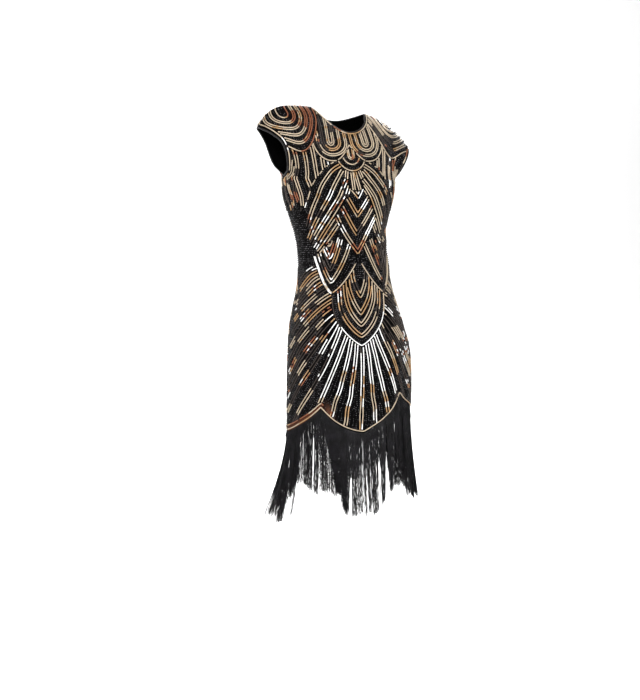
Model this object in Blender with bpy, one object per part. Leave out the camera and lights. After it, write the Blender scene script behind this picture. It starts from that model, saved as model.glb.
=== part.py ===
"""Flapper dress: a fitted, knee-length dress with cap sleeves, a pointed scalloped hem and long fringe.

Units are metres, +Z is up and the front faces -Y. The origin lies midway between the two neck points of
the shoulder seams, where the wearer's shoulders hold the dress. Left and right are those of someone who
looks at the front, so left is -X.

The cloth is one surface all round the body. Below the underarms it is a stack of oval rings. Above them
each column of cloth runs in a curve from the underarm ring to a line along the shoulder seams and across
the neck. The neck is cut out of that surface, and the outermost columns are the edges of the cap sleeves.
Every panel is a wall between the surface and the same surface moved in by the thickness of the cloth.
Bindings, fringe strips and the zip are made from the panels' own points, so they follow its shape.
"""

import math

import bmesh
import bpy
import numpy as np
from mathutils import Matrix

COLLECTION = "flapper_dress"

# ---- cloth -------------------------------------------------------------------------------------------
WALL = 0.0016  # beaded mesh with its beads
SEAM_GAP = 0.0003  # between two sewn pieces
HALF_COLUMNS = 12  # columns of cloth from centre front, or centre back, to a side seam
NECK_COLUMN = 5  # the column that ends at the neck point
LOWER_ROWS = 18  # from hem to underarm
UPPER_ROWS = 12  # from underarm to shoulder
NECK_U = NECK_COLUMN / HALF_COLUMNS

# ---- body of the dress -------------------------------------------------------------------------------
# One row for each level. half_width, front and back are the half axes of the oval, centre_x is its middle
# and turn, in degrees, is how far the front of that level is turned towards +X: the chest is turned a
# little against the hips, as in a standing pose.
RING_COLUMNS = ("z", "half_width", "front", "back", "centre_x", "turn")
RINGS = (
    (-0.080, 0.1460, 0.088, 0.090, 0.0000, 8.0),  # above the underarm, for its slope only
    (-0.175, 0.1520, 0.107, 0.099, -0.0015, 8.0),  # underarm
    (-0.221, 0.1475, 0.114, 0.098, -0.0025, 8.5),  # bust
    (-0.262, 0.1365, 0.110, 0.092, -0.0020, 8.5),
    (-0.317, 0.1205, 0.099, 0.083, 0.0010, 8.0),  # upper waist
    (-0.375, 0.1200, 0.093, 0.081, 0.0085, 7.5),  # waist
    (-0.425, 0.1218, 0.095, 0.088, 0.0125, 6.5),
    (-0.465, 0.1275, 0.102, 0.098, 0.0145, 5.5),  # high hip
    (-0.507, 0.1385, 0.110, 0.109, 0.0172, 4.0),
    (-0.548, 0.1490, 0.117, 0.118, 0.0200, 3.5),
    (-0.627, 0.1600, 0.122, 0.126, 0.0262, 3.0),  # hip
    (-0.707, 0.1628, 0.122, 0.125, 0.0275, 3.0),
    (-0.790, 0.1628, 0.121, 0.122, 0.0262, 3.0),
    (-0.870, 0.1635, 0.121, 0.121, 0.0245, 3.0),  # below the hem, for its slope only
)
TYPICAL_HALF_WIDTH = 0.150  # of all the ovals, for spacing the columns round them
TYPICAL_DEPTH = 0.115

# ---- hem ---------------------------------------------------------------------------------------------
HEM_LOW_Z = -0.8220  # the low points of the scallops at centre front and centre back
HEM_SLOPE = 0.144  # the hem rises towards +X, with the hip that carries the weight
HEM_SIDE_LIFT = 0.019  # and the low points at the sides lie this much higher
SCALLOP_RISE = 0.070  # from a scallop's low point to the peak between two scallops
SCALLOP_STRAIGHT = 0.45  # share of the rise that is straight; the rest steepens towards the peak
SCALLOP_POWER = 2.3

# ---- neck, shoulders and caps, on the turned chest ---------------------------------------------------
CHEST_TURN = 8.0
UNDERARM_Z = -0.1765  # at centre
UNDERARM_SLOPE = -0.0055  # lower towards +X
NECK_FRONT_CUT = 0.435  # share of the centre column that the neckline cuts off
NECK_BACK_CUT = 0.215
NECK_POWER = 0.68  # above 1 the neckline is a V, below 1 it is square
# The shoulder seam from the neck point to the tip of the cap, as x, y, z.
LEFT_SHOULDER = (
    (-0.0782, 0.012, 0.0080),
    (-0.1180, 0.012, 0.0095),
    (-0.1568, 0.011, 0.0070),
    (-0.1850, 0.010, -0.0040),
    (-0.2050, 0.009, -0.0215),
    (-0.2226, 0.008, -0.0470),
)
RIGHT_SHOULDER = (
    (0.0782, 0.012, -0.0080),
    (0.1000, 0.012, -0.0150),
    (0.1220, 0.012, -0.0250),
    (0.1500, 0.011, -0.0410),
    (0.1760, 0.010, -0.0610),
    (0.1970, 0.008, -0.0930),
)
# The open edges of the caps from just above the underarm to just below the tip, as x, y, z.
LEFT_FRONT_EDGE = (
    (-0.1530, -0.026, -0.1600),
    (-0.1605, -0.049, -0.1400),
    (-0.1685, -0.059, -0.1120),
    (-0.1780, -0.054, -0.0860),
    (-0.1985, -0.034, -0.0640),
)
LEFT_BACK_EDGE = (
    (-0.1530, 0.026, -0.1590),
    (-0.1605, 0.052, -0.1380),
    (-0.1680, 0.064, -0.1090),
    (-0.1790, 0.060, -0.0840),
    (-0.1990, 0.042, -0.0625),
)
RIGHT_FRONT_EDGE = (
    (0.1525, -0.022, -0.1700),
    (0.1545, -0.043, -0.1540),
    (0.1620, -0.052, -0.1340),
    (0.1780, -0.036, -0.1150),
)
RIGHT_BACK_EDGE = (
    (0.1525, 0.022, -0.1690),
    (0.1550, 0.045, -0.1540),
    (0.1630, 0.054, -0.1330),
    (0.1785, 0.040, -0.1140),
)
EDGE_POWER = 0.75  # below 1 the rows' ends keep level with their middles round the bottom of an armhole
ARMHOLE_DRAW = 0.26  # how far the columns draw together beside an armhole, in u
ARMHOLE_POWER = 0.7  # below 1 they do so sooner above the underarm
DRAW_FROM = 0.30  # columns outside this one draw together
DRAW_POWER = 1.3
FLARE_FROM = 0.45  # and outside this one flare towards the edge of the cap
FLARE_POWER = 2.2
COLUMN_PULL = 1.35  # how strongly a column keeps its direction at each end, as a share of its length
# The way a column runs as it reaches the shoulder line: back over the top, and still rising by this much.
TOP_DIRECTIONS = (
    # u, back, up
    (0.0, 0.80, 0.60),
    (NECK_U, 0.92, 0.40),
    (0.75, 0.98, 0.20),
    (1.0, 1.00, 0.04),
)

# ---- folds -------------------------------------------------------------------------------------------
# place runs round the body: 0 centre front, 1 right side, 2 centre back, 3 (or -1) left side. A fold
# runs from place_top at z_top to place_low at z_low. width is across it, in the same units as place, and
# height is how far the cloth stands out (or, below 0, in).
FOLDS = (
    # place_top, place_low, z_top, z_low, width, height
    # soft flutes that fall from the hips
    (-0.70, -0.74, -0.560, -0.900, 0.110, 0.0045),
    (-0.42, -0.46, -0.600, -0.900, 0.090, -0.0040),
    (-0.16, -0.20, -0.570, -0.900, 0.085, 0.0036),
    (0.10, 0.06, -0.620, -0.900, 0.075, -0.0036),
    (0.34, 0.32, -0.560, -0.900, 0.085, 0.0046),
    (0.60, 0.60, -0.610, -0.900, 0.090, -0.0042),
    (0.92, 0.94, -0.560, -0.900, 0.120, 0.0040),
    (1.30, 1.32, -0.600, -0.900, 0.100, -0.0036),
    (1.60, 1.58, -0.570, -0.900, 0.100, 0.0044),
    (2.00, 2.00, -0.640, -0.900, 0.110, -0.0032),
    (2.38, 2.42, -0.570, -0.900, 0.105, 0.0044),
    (2.72, 2.70, -0.600, -0.900, 0.095, -0.0038),
    (3.02, 3.00, -0.580, -0.900, 0.100, 0.0034),
    # drags from the bust and the hips into the waist
    (-0.88, -0.46, -0.300, -0.420, 0.120, 0.0034),
    (-0.92, -0.50, -0.365, -0.475, 0.110, 0.0032),
    (0.86, 0.48, -0.295, -0.400, 0.120, 0.0034),
    (0.90, 0.50, -0.350, -0.460, 0.110, 0.0028),
    (2.10, 1.62, -0.330, -0.385, 0.140, 0.0034),
    (1.96, 2.44, -0.400, -0.350, 0.140, 0.0034),
    # crumples on the lower cap and under the arms
    (0.86, 0.98, -0.075, -0.150, 0.050, 0.0034),
    (0.70, 0.84, -0.090, -0.190, 0.055, -0.0030),
    (-0.74, -0.84, -0.110, -0.230, 0.060, 0.0022),
    (1.16, 1.06, -0.090, -0.160, 0.055, 0.0030),
    (3.20, 3.12, -0.100, -0.180, 0.055, 0.0028),
)
FOLD_END = 0.045  # over this height a fold rises from nothing at each end

# ---- bindings ----------------------------------------------------------------------------------------
BINDING_WIDTH = 0.0034
BINDING_THICKNESS = 0.0030

# ---- fringe ------------------------------------------------------------------------------------------
STRIP_HEIGHT = 0.0060
STRIP_GAP = 0.0004  # along the cloth, so that it is still SEAM_GAP where the hem is steep
STRANDS_PER_COLUMN = 4
STRAND_LENGTH = 0.2180
SIDE_LENGTHEN = 0.10  # strands at the sides are longer by this share
STRAND_TIP = 0.55  # width of a strand's end against its root
STRAND_LEVELS = (0.45, 1.0)  # where along its length a strand has a section
FLARE = 0.012  # how far a strand's end stands out from its root
LEFT_FLARE = 0.046  # more than that at the left side, where the skirt swings out
LEFT_FLARE_WIDTH = 0.42
STRAND_BEND = 1.6  # above 1 the end swings out more than the middle
# Slow waves round the hem: size, half turns to each unit of place, and start. The first is in metres of
# flare, the second in metres of sway, and the others are shares of the length.
FLARE_WAVE = (0.005, 5.0, 0.0)
SWAY_WAVE = (0.006, 3.5, 0.6)
LENGTH_WAVES = ((0.020, 6.5, 0.0), (0.012, 14.5, 0.0))

# ---- zip ---------------------------------------------------------------------------------------------
ZIP_ROW = 0.86  # height of the slider on the centre-back seam, from underarm 0 to neck 1
SLIDER_WIDTH = 0.0046
SLIDER_LENGTH = 0.0074
SLIDER_THICKNESS = 0.0016
BAIL_INNER = 0.00115
BAIL_THICKNESS = 0.0008
BAIL_WIDTH = 0.0018
AXIS_ABOVE_SLIDER = 0.0011
TAB_THICKNESS = 0.0010
TAB_WIDTH = 0.0044
TAB_LENGTH = 0.0170
EYE_WIDTH = 0.0025
EYE_LENGTH = 0.0024
EYE_WALL = 0.0008

# name: colour, roughness, metallic
FINISHES = {
    "beaded_mesh": ((0.020, 0.018, 0.020), 0.45, 0.0),
    "black_binding": ((0.012, 0.011, 0.012), 0.60, 0.0),
    "black_fringe": ((0.014, 0.013, 0.016), 0.38, 0.0),
    "black_metal": ((0.018, 0.018, 0.020), 0.30, 0.9),
}


# ---- numbers -----------------------------------------------------------------------------------------
def unit(vectors):
    """Each vector divided by its own length."""
    return vectors / np.linalg.norm(vectors, axis=-1, keepdims=True)


def ease(x):
    """0 below 0, 1 above 1 and a smooth S between: 3x^2 - 2x^3."""
    x = np.clip(x, 0.0, 1.0)
    return x * x * (3.0 - 2.0 * x)


def through(stations, values, at):
    """A smooth curve through the values at rising stations, read at the places in at.

    Between two stations it is a cubic whose slope at each station is that of the straight line between the
    station's two neighbours."""
    stations = np.asarray(stations, float)
    values = np.asarray(values, float)
    slopes = np.gradient(values, stations, axis=0)
    at = np.asarray(at, float)
    i = np.clip(np.searchsorted(stations, at) - 1, 0, len(stations) - 2)
    step = stations[i + 1] - stations[i]
    s = (at - stations[i]) / step
    if values.ndim > 1:
        s, step = s[..., None], step[..., None]
    rise = values[i + 1] - values[i]
    a = slopes[i] * step - rise
    b = rise - slopes[i + 1] * step
    return values[i] + s * rise + s * (1.0 - s) * (a * (1.0 - s) + b * s)


RING_Z = np.array([row[0] for row in RINGS])[::-1]


def ring_value(name, z):
    """A column of RINGS read at height z."""
    values = np.array([row[RING_COLUMNS.index(name)] for row in RINGS])[::-1]
    return through(RING_Z, values, z)


# ---- the surface of the cloth ------------------------------------------------------------------------
def oval_angles():
    """Angles round a typical oval of the dress, at equal steps of cloth from one side to the other."""
    angles = np.linspace(-math.pi / 2, math.pi / 2, 721)
    steps = np.hypot(TYPICAL_HALF_WIDTH * np.cos(angles), TYPICAL_DEPTH * np.sin(angles))
    run = np.concatenate([[0.0], np.cumsum((steps[1:] + steps[:-1]) / 2)])
    return 2.0 * run / run[-1] - 1.0, angles


OVAL_U, OVAL_ANGLE = oval_angles()


def ring_point(side, u, z):
    """The point of the oval at height z. side is -1 in front and 1 behind, and u runs from -1 at the left
    seam to 1 at the right one."""
    angle = np.interp(u, OVAL_U, OVAL_ANGLE)
    depth = ring_value("front" if side < 0 else "back", z)
    x = ring_value("half_width", z) * np.sin(angle)
    y = side * depth * np.cos(angle)
    turn = np.radians(ring_value("turn", z))
    middle = ring_value("centre_x", z)
    return np.stack(
        [middle + x * np.cos(turn) - y * np.sin(turn), x * np.sin(turn) + y * np.cos(turn), z],
        axis=-1,
    )


def hem_z(u):
    """Height of the hem: four scallops round the body, low at the centres and the sides, with a peak
    halfway between. The rise from low to peak is straight at first and then steepens."""
    wave = 1.0 - np.abs(2.0 * np.abs(u) - 1.0)
    rise = SCALLOP_STRAIGHT * wave + (1.0 - SCALLOP_STRAIGHT) * wave**SCALLOP_POWER
    across = np.sin(np.interp(u, OVAL_U, OVAL_ANGLE))
    tilt = HEM_SLOPE * across * ring_value("half_width", HEM_LOW_Z)
    return HEM_LOW_Z + tilt + HEM_SIDE_LIFT * across**2 + SCALLOP_RISE * rise


def chest(points):
    """Points of the chest, turned with it about the vertical through the origin."""
    turn = math.radians(CHEST_TURN)
    x, y, z = np.moveaxis(np.asarray(points, float), -1, 0)
    return np.stack(
        [x * math.cos(turn) - y * math.sin(turn), x * math.sin(turn) + y * math.cos(turn), z], axis=-1
    )


def shoulder_line():
    """The line the columns run up to, as places u with their points: the shoulder seams, each at equal
    steps of cloth, and a smooth bridge across the neck."""
    places, points = [], []
    for hand, table in ((-1.0, LEFT_SHOULDER[::-1]), (1.0, RIGHT_SHOULDER)):
        run = np.concatenate([[0.0], np.cumsum(np.linalg.norm(np.diff(table, axis=0), axis=1))])
        share = run / run[-1]
        inner, outer = (-1.0, -NECK_U) if hand < 0 else (NECK_U, 1.0)
        places.append(inner + (outer - inner) * share)
        points.append(np.array(table))
    return np.concatenate(places), np.concatenate(points)


LINE_U, LINE_POINTS = shoulder_line()


def top_point(u):
    """Upper end of the column u, on the shoulder line of the chest."""
    return through(LINE_U, LINE_POINTS, u)


def top_direction(side, u):
    """The way a column runs as it reaches the shoulder line, from TOP_DIRECTIONS. It is read by the square
    of u, which is smooth across the centre."""
    at, back, up = np.array(TOP_DIRECTIONS).T
    back_and_up = through(at**2, np.stack([back, up], axis=1), u**2)
    sideways = 0.0 * u
    return unit(np.stack([sideways, -side * back_and_up[..., 0], back_and_up[..., 1]], axis=-1))


def neck_share(side, u):
    """How much of the column u is cloth: all of it outside the neck points, and less towards the centre."""
    cut = NECK_FRONT_CUT if side < 0 else NECK_BACK_CUT
    return 1.0 - cut * (1.0 - np.minimum(np.abs(u) / NECK_U, 1.0) ** 2) ** NECK_POWER


def underarm_z(u):
    """Height of the row where the rings end and the columns of the chest begin."""
    return UNDERARM_Z + UNDERARM_SLOPE * u


def curved_column(side, u, v):
    """A column of the chest: a cubic from the underarm ring, which it leaves along the body, to its upper
    end, which it reaches along top_direction. v runs from 0 to 1."""
    small = 0.002
    start = ring_point(side, u, underarm_z(u))
    end = chest(top_point(u))
    reach = np.linalg.norm(end - start, axis=-1, keepdims=True) * COLUMN_PULL
    leave = unit(ring_point(side, u, underarm_z(u) + small) - start) * reach
    arrive = chest(top_direction(side, u)) * reach
    v = v[..., None]
    return (
        start * (1.0 - v) ** 2 * (1.0 + 2.0 * v)
        + leave * v * (1.0 - v) ** 2
        + end * v * v * (3.0 - 2.0 * v)
        - arrive * v * v * (1.0 - v)
    )


def cap_edge(side, hand, v):
    """The open edge of a cap, from the underarm at v 0 to the tip at v 1. hand is -1 for the left. It is
    read from one smooth loop, front and back, so that it is round at the underarm and at the tip."""
    front = LEFT_FRONT_EDGE if hand < 0 else RIGHT_FRONT_EDGE
    back = LEFT_BACK_EDGE if hand < 0 else RIGHT_BACK_EDGE
    if side > 0:
        front, back = back, front
    at = np.full(1, float(hand))
    low = ring_point(side, at, underarm_z(at))
    tip = chest(top_point(at))
    loop = np.concatenate([chest(back[:1]), low, chest(front), tip, chest(back[::-1]), low])
    run = np.concatenate([[0.0], np.cumsum(np.linalg.norm(np.diff(loop, axis=0), axis=1))])
    first, last = run[1], run[len(front) + 2]
    return through(run, loop, first + (last - first) * v**EDGE_POWER)


def share_beyond(limit, u, hand):
    """0 up to the column limit on the side hand, and rising to 1 at that side's last column."""
    return np.clip((hand * u - limit) / (1.0 - limit), 0.0, 1.0)


def chest_point(side, u, v):
    """The chest above the underarms, up to the shoulder line, with no neck cut out. The columns draw
    together to leave room for the armholes, and then flare so that the last one is the edge of the cap."""
    level = v**EDGE_POWER
    draw = ARMHOLE_DRAW * (4.0 * level * (1.0 - level)) ** ARMHOLE_POWER
    drawn = u
    for hand in (-1.0, 1.0):
        drawn = drawn - hand * draw * share_beyond(DRAW_FROM, u, hand) ** DRAW_POWER
    point = curved_column(side, drawn, v)
    for hand in (-1.0, 1.0):
        flare = cap_edge(side, hand, v) - curved_column(side, hand * (1.0 - draw), v)
        point = point + flare * share_beyond(FLARE_FROM, u, hand)[..., None] ** FLARE_POWER
    return point


def plain_cloth(side, u, v):
    """The cloth with no folds and no neck cut out. v runs from -1 at the hem over 0 at the underarm to 1 at
    the shoulder line."""
    lower = np.clip(v, -1.0, 0.0)
    z = underarm_z(u) + (underarm_z(u) - hem_z(u)) * lower
    body = ring_point(side, u, z)
    upper = chest_point(side, u, np.clip(v, 0.0, 1.0))
    return np.where((v > 0.0)[..., None], upper, body)


def outward(surface, side, u, v):
    """The unit normal of a surface of u and v, from points a small step to each side."""
    step = 0.004
    across = surface(side, np.minimum(u + step, 1.0), v) - surface(side, np.maximum(u - step, -1.0), v)
    up = surface(side, u, np.minimum(v + step, 1.0)) - surface(side, u, np.maximum(v - step, -1.0))
    return unit(np.cross(across, up)) * -side


def place_round(side, u):
    """Place round the body: 0 centre front, 1 right side, 2 centre back, 3 left side."""
    return u if side < 0 else 2.0 - u


def fold_height(place, z):
    """How far the folds move the cloth out. Each is a smooth bell across, and rises and falls along."""
    total = np.zeros(np.broadcast(place, z).shape)
    for place_top, place_low, z_top, z_low, width, height in FOLDS:
        share = (z_top - z) / (z_top - z_low)
        middle = place_top + (place_low - place_top) * share
        off = (place - middle + 2.0) % 4.0 - 2.0
        ends = ease((z_top - z) / FOLD_END) * ease((z - z_low) / FOLD_END)
        total += height * np.exp(-((off / width) ** 2)) * ends
    return total


def cloth(side, u, v):
    """The cloth with its folds."""
    plain = plain_cloth(side, u, v)
    height = fold_height(place_round(side, u), plain[..., 2])
    return plain + outward(plain_cloth, side, u, v) * height[..., None]


# ---- panels ------------------------------------------------------------------------------------------
ROWS = np.concatenate(
    [np.linspace(-1.0, 0.0, LOWER_ROWS + 1)[:-1], np.linspace(0.0, 1.0, UPPER_ROWS + 1)]
)


def columns_between(first, last):
    """Columns of cloth from one to the other, counted in HALF_COLUMNS from the centre."""
    return np.arange(first, last + 1) / HALF_COLUMNS


def cloth_grid(side, columns):
    """Points and normals, rows by columns. Along the side and shoulder seams the normal is the mean of the
    two panels', so that both walls meet in one plane there."""
    u, row = np.meshgrid(columns, ROWS)
    v = np.where(row > 0.0, row * neck_share(side, u), row)
    points = cloth(side, u, v)
    normals = outward(cloth, side, u, v)
    shared = unit(normals + outward(cloth, -side, u, v))
    on_side_seam = (np.abs(u) > 1.0 - 1e-9) & (row < 1e-9)
    on_shoulder_seam = (np.abs(u) > NECK_U - 1e-9) & (row > 1.0 - 1e-9)
    return points, np.where((on_side_seam | on_shoulder_seam)[..., None], shared, normals)


def open_seams(points, columns, side):
    """Draws the sewn edges back by half of SEAM_GAP: side seams, shoulder seams and the centre back."""
    half = SEAM_GAP / 2.0
    moved = points.copy()
    sewn_rows = ROWS < 1e-9
    for edge, inner in ((0, 1), (-1, -2)):
        at_side = abs(columns[edge]) > 1.0 - 1e-9
        at_centre_back = side > 0 and abs(columns[edge]) < 1e-9
        if at_side or at_centre_back:
            rows = np.ones_like(sewn_rows) if at_centre_back else sewn_rows
            inward = unit(points[:, inner] - points[:, edge])
            moved[rows, edge] += half * inward[rows]
    at_shoulder = np.abs(columns) > NECK_U - 1e-9
    inward = unit(points[-2] - points[-1])
    moved[-1, at_shoulder] += half * inward[at_shoulder]
    return moved


def mesh_object(name, vertices, faces, finish):
    """A named object from points and faces, in the dress's collection, with its finish."""
    mesh = bpy.data.meshes.new(name)
    mesh.from_pydata(np.reshape(vertices, (-1, 3)).tolist(), [], faces)
    mesh.validate()
    solid = bmesh.new()
    solid.from_mesh(mesh)
    bmesh.ops.recalc_face_normals(solid, faces=solid.faces)
    solid.to_mesh(mesh)
    solid.free()
    return add_object(name, mesh, finish)


def add_object(name, mesh, finish):
    """Puts a mesh in the scene as a named object with its finish, shaded smooth but for sharp edges."""
    mesh.shade_smooth()
    mesh.set_sharp_from_angle(angle=math.radians(40))
    mesh.materials.clear()
    mesh.materials.append(material(finish))
    made = bpy.data.objects.new(name, mesh)
    bpy.data.collections[COLLECTION].objects.link(made)
    return made


def material(name):
    """The Principled material of this name from FINISHES, made on first use."""
    if name in bpy.data.materials:
        return bpy.data.materials[name]
    colour, roughness, metallic = FINISHES[name]
    made = bpy.data.materials.new(name)
    made.use_nodes = True
    shader = made.node_tree.nodes["Principled BSDF"]
    shader.inputs["Base Color"].default_value = (*colour, 1.0)
    shader.inputs["Roughness"].default_value = roughness
    shader.inputs["Metallic"].default_value = metallic
    return made


def cut_quads(points, quads):
    """Triangles of the quads, each cut along its shorter diagonal. The cloth stays smooth where its cells
    lean, and two faces that run side by side are cut the same way."""
    flat = np.reshape(points, (-1, 3))
    a, b, c, d = np.asarray(quads).T
    first = np.linalg.norm(flat[c] - flat[a], axis=1) <= np.linalg.norm(flat[d] - flat[b], axis=1)
    one = np.where(first, (a, b, c), (a, b, d))
    two = np.where(first, (a, c, d), (b, c, d))
    return np.concatenate([one, two], axis=1).T


def grid_quads(rows, columns):
    """Quads of a grid of points."""
    corner = (np.arange(rows - 1)[:, None] * columns + np.arange(columns - 1)).reshape(-1)
    return np.stack([corner, corner + 1, corner + 1 + columns, corner + columns], axis=1)


def wall(name, outer, normals, finish):
    """A panel: the outer grid, the same moved in by WALL, and a rim that joins their borders."""
    rows, columns = outer.shape[:2]
    inner = outer - WALL * normals
    half = rows * columns
    border = np.concatenate(
        [
            np.arange(columns - 1),
            columns - 1 + columns * np.arange(rows - 1),
            half - 1 - np.arange(columns - 1),
            columns * np.arange(rows - 1, 0, -1),
        ]
    )
    ahead = np.roll(border, -1)
    both = np.stack([outer, inner])
    face = cut_quads(outer, grid_quads(rows, columns))
    rim = cut_quads(both, np.stack([border, ahead, ahead + half, border + half], axis=1))
    return mesh_object(name, both, np.concatenate([face, face[:, ::-1] + half, rim]).tolist(), finish)


def make_panel(name, side, first, last):
    """Cuts one panel out of the cloth. Returns the sewn grid with its normals, for what is sewn to it."""
    columns = columns_between(first, last)
    points, normals = cloth_grid(side, columns)
    outer = open_seams(points, columns, side)
    wall(name, outer, normals, "beaded_mesh")
    return {"side": side, "columns": columns, "outer": outer, "normals": normals}


# ---- bindings ----------------------------------------------------------------------------------------
def binding_section():
    """Corners of the binding as (away from the cloth, across its thickness): flat on the cloth's edge and
    rounded outside."""
    start, width, half = SEAM_GAP, BINDING_WIDTH, BINDING_THICKNESS / 2.0
    return np.array(
        [
            (start, -WALL / 2.0),
            (start, WALL / 2.0),
            (start + 0.5 * width, half),
            (start + width, 0.45 * half),
            (start + width, -0.45 * half),
            (start + 0.5 * width, -half),
        ]
    )


def make_binding(name, edge, inner, normals, closed):
    """A strip carried along an edge of the cloth. inner is the next row of cloth inside the edge, which
    tells on which side of the line the cloth lies."""
    ahead, behind = np.roll(edge, -1, axis=0), np.roll(edge, 1, axis=0)
    if not closed:
        # the two ends meet at an opening, and both are cut square to the line between their neighbours
        ahead[-1], behind[0] = edge[1], edge[-2]
    away = unit(np.cross(unit(ahead - behind), normals))
    away *= np.sign(np.sum(away * (edge - inner)))
    middle = edge - normals * WALL / 2.0
    section = binding_section()
    corners = middle[:, None] + section[:, :1] * away[:, None] + section[:, 1:] * normals[:, None]
    sides, stations = len(section), len(edge)
    corner = np.arange(sides)
    following = (corner + 1) % sides
    here = np.arange(stations if closed else stations - 1)[:, None] * sides
    there = (here + sides) % (stations * sides)
    quads = np.stack([here + corner, here + following, there + following, there + corner], axis=-1)
    faces = cut_quads(corners, quads.reshape(-1, 4)).tolist()
    if not closed:
        last = (stations - 1) * sides
        faces += [tuple(range(sides)), tuple(range(last, last + sides))]
    return mesh_object(name, corners, faces, "black_binding")


def neck_run(panel, top_row):
    """The neckline part of a row of a panel, from left to right."""
    inside = np.abs(panel["columns"]) <= NECK_U + 1e-9
    return panel[top_row[0]][top_row[1], inside]


def make_neck_binding(front, back_left, back_right):
    """From the centre back over the left neck point, the front and the right neck point to the back."""
    runs = []
    for key, row in (("outer", -1), ("outer", -2), ("normals", -1)):
        left = neck_run(back_left, (key, row))[::-1]
        middle = neck_run(front, (key, row))
        right = neck_run(back_right, (key, row))[::-1]
        # the panels meet at the neck points, where their mean stands for both
        at_left = (left[-1:] + middle[:1]) / 2.0
        at_right = (middle[-1:] + right[:1]) / 2.0
        runs.append(np.concatenate([left[:-1], at_left, middle[1:-1], at_right, right[1:]]))
    edge, inner, normals = runs
    return make_binding("neck_binding", edge, inner, unit(normals), closed=False)


def make_armhole_binding(name, front, back, hand):
    """Round the open edge of a cap: up the front edge to the tip and down the back edge."""
    rows = ROWS > -1e-9
    runs = []
    for key in ("outer", "normals"):
        for step in (0, 1):
            column = {-1: step, 1: -1 - step}[hand]
            up = front[key][rows, column]
            down = back[key][rows, column][::-1]
            at_tip = (up[-1:] + down[:1]) / 2.0
            at_underarm = (up[:1] + down[-1:]) / 2.0
            runs.append(np.concatenate([at_underarm, up[1:-1], at_tip, down[1:-1]]))
    edge, inner, normals = runs[0], runs[1], runs[2]
    # at the underarm the next cloth inside is further down the side seam
    inner[0] = front["outer"][LOWER_ROWS - 1, 0 if hand < 0 else -1]
    return make_binding(name, edge, inner, unit(normals), closed=True)


# ---- fringe ------------------------------------------------------------------------------------------
def split_between(points, parts):
    """Points along straight lines between the given ones, parts to each line."""
    shares = np.arange(parts)[:, None] / parts
    lines = points[:-1, None] * (1.0 - shares) + points[1:, None] * shares
    return np.concatenate([lines.reshape(-1, 3), points[-1:]])


def wave(place, size, half_turns, start):
    """A sine wave round the hem."""
    return size * np.sin(math.pi * half_turns * place + start)


def strand_offsets(place, away):
    """How far a strand's end lies from its root: down by its length, out by its flare, and a little to the
    side. All are smooth round the hem, so that neighbours never cross."""
    off_left = (place + 1.0 + 2.0) % 4.0 - 2.0
    flare = FLARE + LEFT_FLARE * np.exp(-((off_left / LEFT_FLARE_WIDTH) ** 2)) + wave(place, *FLARE_WAVE)
    sway = wave(place, *SWAY_WAVE)
    uneven = sum(wave(place, *numbers) for numbers in LENGTH_WAVES)
    at_sides = np.abs(np.sin(math.pi / 2.0 * place)) ** 4
    length = STRAND_LENGTH * (1.0 + uneven + SIDE_LENGTHEN * at_sides)
    level = unit(away * np.array([1.0, 1.0, 0.0]))
    sideways = np.stack([-level[:, 1], level[:, 0], 0.0 * level[:, 0]], axis=-1)
    down = np.stack([0.0 * length, 0.0 * length, -length], axis=-1)
    return down + flare[:, None] * level + sway[:, None] * sideways


def make_fringe(name, panel):
    """A narrow strip under the hem, with every second stretch of its lower face drawn out to a strand."""
    parts = 2 * STRANDS_PER_COLUMN
    outer, normals = panel["outer"][0], panel["normals"][0]
    inner = outer - WALL * normals
    down = unit(outer - panel["outer"][1])
    lines = []
    for edge in (outer, inner):
        for reach in (STRIP_GAP, STRIP_GAP + STRIP_HEIGHT):
            lines.append(split_between(edge + reach * down, parts))
    outer_top, outer_low, inner_top, inner_low = lines
    stations = len(outer_top)
    strip = np.concatenate(lines)
    faces = []
    for i in range(stations - 1):
        a, b, c, d = i, stations + i, 2 * stations + i, 3 * stations + i
        faces += [(a, a + 1, b + 1, b), (c + 1, c, d, d + 1), (a + 1, a, c, c + 1)]
        if i % 2 == 0:
            faces.append((b, b + 1, d + 1, d))
    for i in (0, stations - 1):
        faces.append((i, stations + i, 3 * stations + i, 2 * stations + i))
    # strands, on the odd stretches
    root = np.arange(1, stations - 1, 2)
    corners = np.stack([outer_low[root], outer_low[root + 1], inner_low[root + 1], inner_low[root]], axis=1)
    loops = np.stack(
        [stations + root, stations + root + 1, 3 * stations + root + 1, 3 * stations + root], axis=1
    )
    u = panel["columns"][0] + (root + 0.5) / parts / HALF_COLUMNS
    offsets = strand_offsets(place_round(panel["side"], u), split_between(normals, parts)[root])
    middle = corners.mean(axis=1, keepdims=True)
    vertices = [strip]
    count = len(strip)
    for level in STRAND_LEVELS:
        width = 1.0 + (STRAND_TIP - 1.0) * level
        drop = offsets * np.array([level**STRAND_BEND, level**STRAND_BEND, level])
        section = middle + (corners - middle) * width + drop[:, None]
        new_loops = count + np.arange(len(root))[:, None] * 4 + np.arange(4)
        for k in range(4):
            nxt = (k + 1) % 4
            faces += np.stack(
                [loops[:, k], loops[:, nxt], new_loops[:, nxt], new_loops[:, k]], axis=1
            ).tolist()
        vertices.append(section.reshape(-1, 3))
        count += section.size // 3
        loops = new_loops
    faces += loops.tolist()
    return mesh_object(name, np.concatenate(vertices), faces, "black_fringe")


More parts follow.
